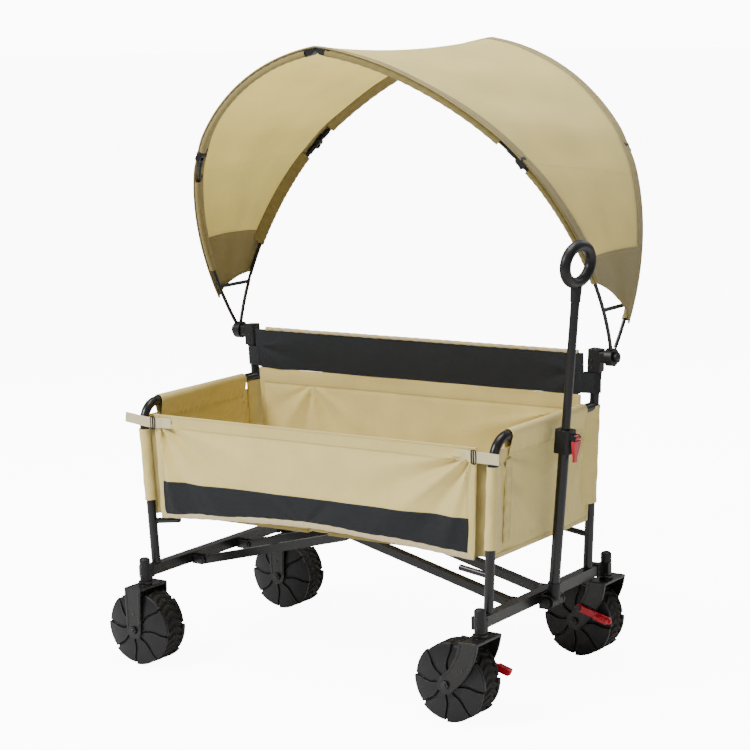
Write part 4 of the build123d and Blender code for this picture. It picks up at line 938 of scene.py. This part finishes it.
LEG_FACE = 0.0512
FORKS = [("rear_frame", REAR_STEM_X, -WHEEL_Y, 0.0), ("rear_frame", REAR_STEM_X, WHEEL_Y, 0.0),
         ("near_caster", FRONT_STEM_X, -WHEEL_Y, TRAIL), ("far_caster", FRONT_STEM_X, WHEEL_Y, TRAIL)]
for number, (body, stem_x, stem_y, trail) in enumerate(FORKS):
    shape = Shape()
    for face in (-1, 1):
        y = stem_y + face * LEG_FACE
        for line in leg_lines(trail):
            path = np.stack([stem_x + line[:, 0], np.full(len(line), y), line[:, 1]], 1)
            size = np.minimum(np.minimum(np.arange(len(line)), np.arange(len(line))[::-1]) / 2 + 0.35, 1)
            sweep(shape, path, oval(0.0024, 0.0011, 10, 0.8), (0, face, 0), size=size)
    corner = [(-0.0225, -0.0495), (0.0225, -0.0495), (0.0225, 0.0495), (-0.0225, 0.0495)]
    loop = np.array([[stem_x + x, stem_y + y, 0.1912] for x, y in corner + corner[:1]])
    sweep(shape, resample(loop, 120)[:-1], oval(0.0014, 0.0012, 8), (0, 0, 1), closed=True)
    make(f"fork_ribs_{number}", shape, paint, body)
    shape = Shape()
    for face in (-1, 1):
        button(shape, (stem_x - trail, stem_y + face * 0.0568, AXLE_Z), (0, face, 0), 0.0052, 0.0030)
        button(shape, (stem_x - trail * 0.28, stem_y + face * LEG_FACE, 0.128), (0, face, 0), 0.0030, 0.0016)
    make(f"fork_screws_{number}", shape, steel, body)

for end_name, end in ENDS.items():
    shape = Shape()
    for side in (-1, 1):
        for z in (0.212, 0.236):
            button(shape, (end * POST_X + 0.016, side * 0.2998, z), (0, side, 0), 0.0032, 0.0016)
        button(shape, (end * POST_X, side * 0.262, 0.2312), (0, 0, 1), 0.0030, 0.0014)
    for z in (0.709, 0.727):
        button(shape, (end * 0.4955, 0.2086, z), (0, -1, 0), 0.0026, 0.0016)
    button(shape, (end * 0.5552, POST_Y, ARCH_Z), (end, 0, 0), 0.0072, 0.0030)
    make(f"{end_name}_frame_screws", shape, steel, f"{end_name}_frame")


# ---- Canopy ----
def outline(point):
    """A point of the arches seen along Y, in metres."""
    return (point[0], ARCH_Z + point[1] * math.cos(ARCH_TILT))


lower = arc_through(outline(ARCH_FOOT), outline(ARCH_BULGE), outline(SHOULDER), 120)
upper = arc_through(outline(SHOULDER), outline(ARCH_MIDDLE), outline(ARCH_TOP), 160)


def outward(curve):
    """The curve's normals, pointing away from the wagon, for a curve drawn upwards at +X."""
    t = unit(np.gradient(curve, axis=0))
    return np.stack([t[:, 1], -t[:, 0]], 1)


CUT_BACK, SMOOTHING_ROUNDS = 12, 60
side_line = lower + outward(lower) * SHEET_OFF
top_line = upper + outward(upper) * SHEET_OFF
spine = resample(np.concatenate([side_line[:-CUT_BACK], top_line[CUT_BACK:]]), 400)
for _ in range(SMOOTHING_ROUNDS):
    spine[1:-1] = spine[1:-1] * 0.5 + (spine[:-2] + spine[2:]) * 0.25
spine_length = along(spine)
shoulder_at = spine_length[np.argmin(np.hypot(*(spine - np.array(outline(SHOULDER))).T))]


def canopy_point(distance, w):
    """A point of the sheet: distance up from the arches' foot, w from -1 (near arch) to 1."""
    xx = np.interp(distance, spine_length, spine[:, 0])
    zz = np.interp(distance, spine_length, spine[:, 1])
    half_width = (zz - ARCH_Z) * math.tan(ARCH_TILT) + SHEET_EDGE / math.cos(ARCH_TILT)
    return np.stack([xx, POST_Y + w * half_width, zz], -1)


def edge_share(surface, near, rows, inset):
    """The fraction across the sheet that lies inset metres in from one of its edges."""
    width = np.linalg.norm(surface.at(0.0, rows) - surface.at(1.0, rows), axis=-1)
    share = inset / width
    return share if near else 1 - share


def edge_band(shape, surface, near, low, high, wide, lift, thick=0.0009):
    """A doubled strip of cloth along one edge of the sheet."""
    rows = np.linspace(low, high, 120)[:, None]
    inset = np.linspace(0.002, wide, 8)[None, :]
    across = edge_share(surface, near, rows, inset)
    rows = rows * np.ones_like(across)
    uvs = np.stack([across * surface.width, rows * surface.height], -1)
    skins = [surface.at(across, rows, lift + half) for half in (thick / 2, -thick / 2)]
    shell(shape, skins[0], skins[1], uvs)


def pole_sleeve(shape, surface, near, low, high):
    """The tunnel of cloth that holds an upper or lower pole against one edge of the sheet."""
    rows = np.linspace(low, high, 120)
    pole = surface.at(edge_share(surface, near, rows, SHEET_EDGE), rows, -SHEET_OFF)
    tail = surface.at(edge_share(surface, near, rows, SHEET_EDGE + SLEEVE_TAIL), rows, -0.0020)
    tangent = unit(np.gradient(pole, axis=0))
    toward = tail - pole
    toward -= tangent * np.sum(toward * tangent, 1, keepdims=True)
    reach = np.linalg.norm(toward, axis=1)
    side = unit(toward)
    up = np.cross(tangent, side)
    skins = []
    for inset, tip in ((0.0, 0.0013), (0.0010, 0.0004)):
        rings = []
        for k in range(len(rows)):
            loop = belt(SLEEVE_R + 0.0004 * math.sin(k * 0.9) - inset, tip, reach[k])
            rings.append(pole[k] + side[k] * loop[:, :1] + up[k] * loop[:, 1:])
        skins.append(np.array(rings))
    shell(shape, skins[0], skins[1], spread(along(pole), along(skins[0][0])), wrap=True)


# How far up the arches the sheet's lower edge starts, at the near and far arches.
EDGE_LOW = {"rear": (0.092, 0.145), "front": (0.190, 0.078)}
EDGE_RISE = {"rear": 0.012, "front": 0.006}
SHEET_ROWS, SHEET_COLUMNS = 111, 49
PATCH_TOP = 0.225
BAND_WIDE = 0.036
SLEEVE_R = 0.0074
SLEEVE_TAIL = 0.027
SAG_TOP, SAG_FOOT = 0.016, 0.004
halves = {}
for end_name, end in ENDS.items():
    w = row(-1, 1, SHEET_COLUMNS)
    t = column(0, 1, SHEET_ROWS)
    at_near, at_far = EDGE_LOW[end_name]
    edge_low = at_near * (1 - w) / 2 + at_far * (1 + w) / 2
    edge_low = edge_low + EDGE_RISE[end_name] * (1 - w ** 2)
    start = edge_low - ARCH_FOOT[1]
    distance = start + (spine_length[-1] - start) * t
    points = canopy_point(distance, w * np.ones_like(t))
    crown = 1 - w ** 2
    sag = crown * (SAG_TOP * smooth(0.15, 1.0, t) + SAG_FOOT * smooth(0, 0.2, t))
    lift = -sag + ripple(w * 0.25, distance, 70 + end, 6, 0.28, 0.004) * crown * smooth(0, 0.1, 1 - t)
    folds = 0.0050 * crown * np.sin((distance * 26) + w * 1.8)
    lift += folds * smooth(0.3, 0.55, t) * smooth(0, 0.12, 1 - t)
    normal = unit(np.cross(unit(np.gradient(points, axis=0)), unit(np.gradient(points, axis=1))))
    normal *= np.sign(normal[0, 0, 0])
    points = points + normal * lift[..., None]
    halves[end_name] = points * np.array([end, 1, 1])

for end_name, end in ENDS.items():
    grid = halves[end_name]
    edges = EDGE_LOW[end_name]
    if end > 0:
        grid, edges = grid[:, ::-1], edges[::-1]
    sheet = Surface(grid)
    if sheet.up(0.5, 0.9)[2] < 0:
        sheet.normal = -sheet.normal
    start = sum(edges) / 2
    shoulder_v = (shoulder_at - start) / (spine_length[-1] - start)
    pieces = []

    shape = Shape()
    patch(shape, sheet, (0, 1), (0, 1), 0.0, 0.0011, SHEET_COLUMNS * 2, SHEET_ROWS * 2)
    cover = make(f"{end_name}_canopy_sheet", shape, canopy_cloth, None)
    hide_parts(f"{end_name}_canopy_side", f"{end_name}_canopy_top")
    pieces.append(cover)

    # Edge hems and pole sleeves, in the dark doubled cloth: painted shade.
    shape = Shape()
    rows = np.linspace(0, 1, 240)
    for at in (0.006, 0.994):
        sweep(shape, sheet.at(at, rows, -0.0010), oval(0.0032, 0.0022, 10, 0.8), sheet.up(at, rows))
    columns = np.linspace(0, 1, 80)
    sweep(shape, sheet.at(columns, 0.004, -0.0004), oval(0.0042, 0.0022, 10, 0.8), sheet.up(columns, 0.004))
    spans = ((0.080 if end < 0 else 0.004, shoulder_v - 0.055), (shoulder_v + 0.045, 0.968))
    for near_arch in (True, False):
        for low, high in spans:
            pole_sleeve(shape, sheet, near_arch, low, high)
    pieces.append(make(f"{end_name}_canopy_pole_sleeves", shape, canopy_double_painted_shade, None))

    # Foot patches and edge bands, in the dark doubled cloth: painted shade.
    shape = Shape()
    starts = np.linspace(edges[0], edges[1], SHEET_COLUMNS) - ARCH_FOOT[1]
    patch_top = (PATCH_TOP - starts) / (spine_length[-1] - starts)
    for lift in (0.0011, -0.0011):
        patch(shape, sheet, (0.008, 0.992), (0.006, patch_top), lift, 0.0009, SHEET_COLUMNS, 40)
    for near_arch, foot in ((True, patch_top[0]), (False, patch_top[-1])):
        edge_band(shape, sheet, near_arch, foot, 0.998, BAND_WIDE, -0.0011)
        edge_band(shape, sheet, near_arch, foot, 0.998, BAND_WIDE * 0.8, 0.0011)
    pieces.append(make(f"{end_name}_canopy_patches", shape, canopy_double_painted_shade, None))

    shape = Shape()
    columns = np.linspace(0.012, 0.988, 120)
    patch_seam = np.interp(columns, np.linspace(0, 1, SHEET_COLUMNS), patch_top) - 0.008
    for at in (patch_seam, shoulder_v - 0.04, 0.992):
        seam(shape, sheet, columns, at, 0.0017, -0.0017)
    rows = np.linspace(max(patch_top[0], patch_top[-1]) + 0.01, 0.99, 200)
    for near_arch in (True, False):
        seam(shape, sheet, edge_share(sheet, near_arch, rows, BAND_WIDE * 0.8 - 0.003), rows, 0.0018)
        seam(shape, sheet, edge_share(sheet, near_arch, rows, BAND_WIDE - 0.003), rows, -0.0018)
    pieces.append(make(f"{end_name}_canopy_thread", shape, thread_light, None))
    for piece in pieces:
        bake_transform(piece)

# ---- Floor mats ----
MAT_COLUMNS, MAT_ROWS = 60, 50
MAT_INSET = 0.004
for end_name, end in ENDS.items():
    low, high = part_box(f"{end_name}_floor_board")
    gy, gx = np.moveaxis(spread(np.linspace(low.y + MAT_INSET, high.y - MAT_INSET, MAT_ROWS),
                                np.linspace(low.x + MAT_INSET, high.x - MAT_INSET, MAT_COLUMNS)), -1, 0)
    puff = ripple(gx, gy, 90 + end, 6, 0.15, 0.0010)
    mat = Surface(np.stack([gx, gy, high.z + 0.0016 + puff], -1))
    shape = Shape()
    patch(shape, mat, (0, 1), (0, 1), 0.0, 0.0024, MAT_COLUMNS, MAT_ROWS)
    rim = np.concatenate([mat.at(np.linspace(0, 1, 40), 0.0), mat.at(1.0, np.linspace(0, 1, 40))[1:],
                          mat.at(np.linspace(1, 0, 40), 1.0)[1:], mat.at(0.0, np.linspace(1, 0, 40))[1:-1]])
    sweep(shape, rim, oval(0.0030, 0.0020, 10), (0, 0, 1), closed=True)
    make(f"{end_name}_floor_mat", shape, beige, f"{end_name}_floor")
    shape = Shape()
    for at in (0.02, 0.98):
        seam(shape, mat, np.linspace(0.02, 0.98, 60), at, 0.0014)
        seam(shape, mat, at, np.linspace(0.02, 0.98, 60), 0.0014)
    make(f"{end_name}_floor_mat_thread", shape, thread_dark, f"{end_name}_floor")

low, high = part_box("rear_floor_board")
gap = -high.x
gy, gx = np.moveaxis(spread(np.linspace(low.y + 0.006, high.y - 0.006, 50),
                            np.linspace(-gap - 0.004, gap + 0.004, 20)), -1, 0)
dip = 0.0025 * (1 - (gx / (gap + 0.004)) ** 2) + ripple(gx, gy, 77, 5, 0.08, 0.0006)
shape = Shape()
patch(shape, Surface(np.stack([gx, gy, high.z - 0.0012 - dip], -1)), (0, 1), (0, 1), 0.0, 0.0016, 20, 50)
strip = make("floor_fold_strip", shape, beige_rough, "rear_floor")
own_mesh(strip)

# ---- Stage, light and camera ----
FLOOR_GLOW = 10.0
SKY_LIGHT, SKY_SEEN = 0.30, 11.0
floor = Shape()
floor.add([(-60, -60, 0), (60, -60, 0), (60, 60, 0), (-60, 60, 0)], [(0, 1, 2, 3)])
pale = Nodes("pale_floor")
seen = pale.add("ShaderNodeLightPath").outputs["Is Camera Ray"]
pale.set(Base_Color=(0.90, 0.90, 0.90, 1), Roughness=0.8, Emission_Color=(1, 1, 1, 1),
         Emission_Strength=pale.math("MULTIPLY", seen, FLOOR_GLOW))
ground = make("studio_floor", floor, pale.material)

world = bpy.data.worlds.new("studio")
world.use_nodes = True
background = world.node_tree.nodes["Background"]
background.inputs[0].default_value = (1, 1, 1, 1)
ray = world.node_tree.nodes.new("ShaderNodeLightPath")
level = world.node_tree.nodes.new("ShaderNodeMapRange")
level.inputs[3].default_value, level.inputs[4].default_value = SKY_LIGHT, SKY_SEEN
world.node_tree.links.new(ray.outputs["Is Camera Ray"], level.inputs[0])
world.node_tree.links.new(level.outputs[0], background.inputs[1])
bpy.context.scene.world = world


def area_light(name, place, target, size, power):
    """A large soft light."""
    data = bpy.data.lights.new(name, "AREA")
    data.shape = "DISK"
    data.size = size
    data.energy = power
    light = bpy.data.objects.new(name, data)
    bpy.context.scene.collection.objects.link(light)
    light.location = place
    light.rotation_mode = "QUATERNION"
    light.rotation_quaternion = (Vector(target) - Vector(place)).to_track_quat("-Z", "Y")


area_light("key", (-1.6, -3.2, 3.8), (0, 0, 0.6), 1.8, 330)
area_light("fill", (3.6, -1.8, 2.0), (0, 0, 0.6), 2.0, 14)
area_light("top", (0.2, 0.6, 4.2), (0, 0.1, 0.8), 2.6, 190)
area_light("rim", (0.8, 4.0, 2.6), (0, 0, 0.8), 2.0, 30)

CAMERA_PLACE = (2.9165, -4.2189, 1.5444)
CAMERA_YAW, CAMERA_PITCH, CAMERA_ROLL = 0.5985, 0.1652, -0.0263
level_part = math.cos(CAMERA_PITCH)
forward = Vector((-math.sin(CAMERA_YAW) * level_part, math.cos(CAMERA_YAW) * level_part,
                  -math.sin(CAMERA_PITCH)))
right = Vector((math.cos(CAMERA_YAW), math.sin(CAMERA_YAW), 0))
upward = right.cross(forward)
view_right = right * math.cos(CAMERA_ROLL) + upward * math.sin(CAMERA_ROLL)
view_up = upward * math.cos(CAMERA_ROLL) - right * math.sin(CAMERA_ROLL)
camera_data = bpy.data.cameras.new("camera")
camera_data.lens = 106.0
camera_data.sensor_width = 36.0
camera_data.shift_x = -0.00333
camera_data.shift_y = -0.00067
camera = bpy.data.objects.new("camera", camera_data)
bpy.context.scene.collection.objects.link(camera)
turn = Matrix((view_right, view_up, -forward)).transposed().to_4x4()
camera.matrix_world = Matrix.Translation(CAMERA_PLACE) @ turn
bpy.context.scene.camera = camera
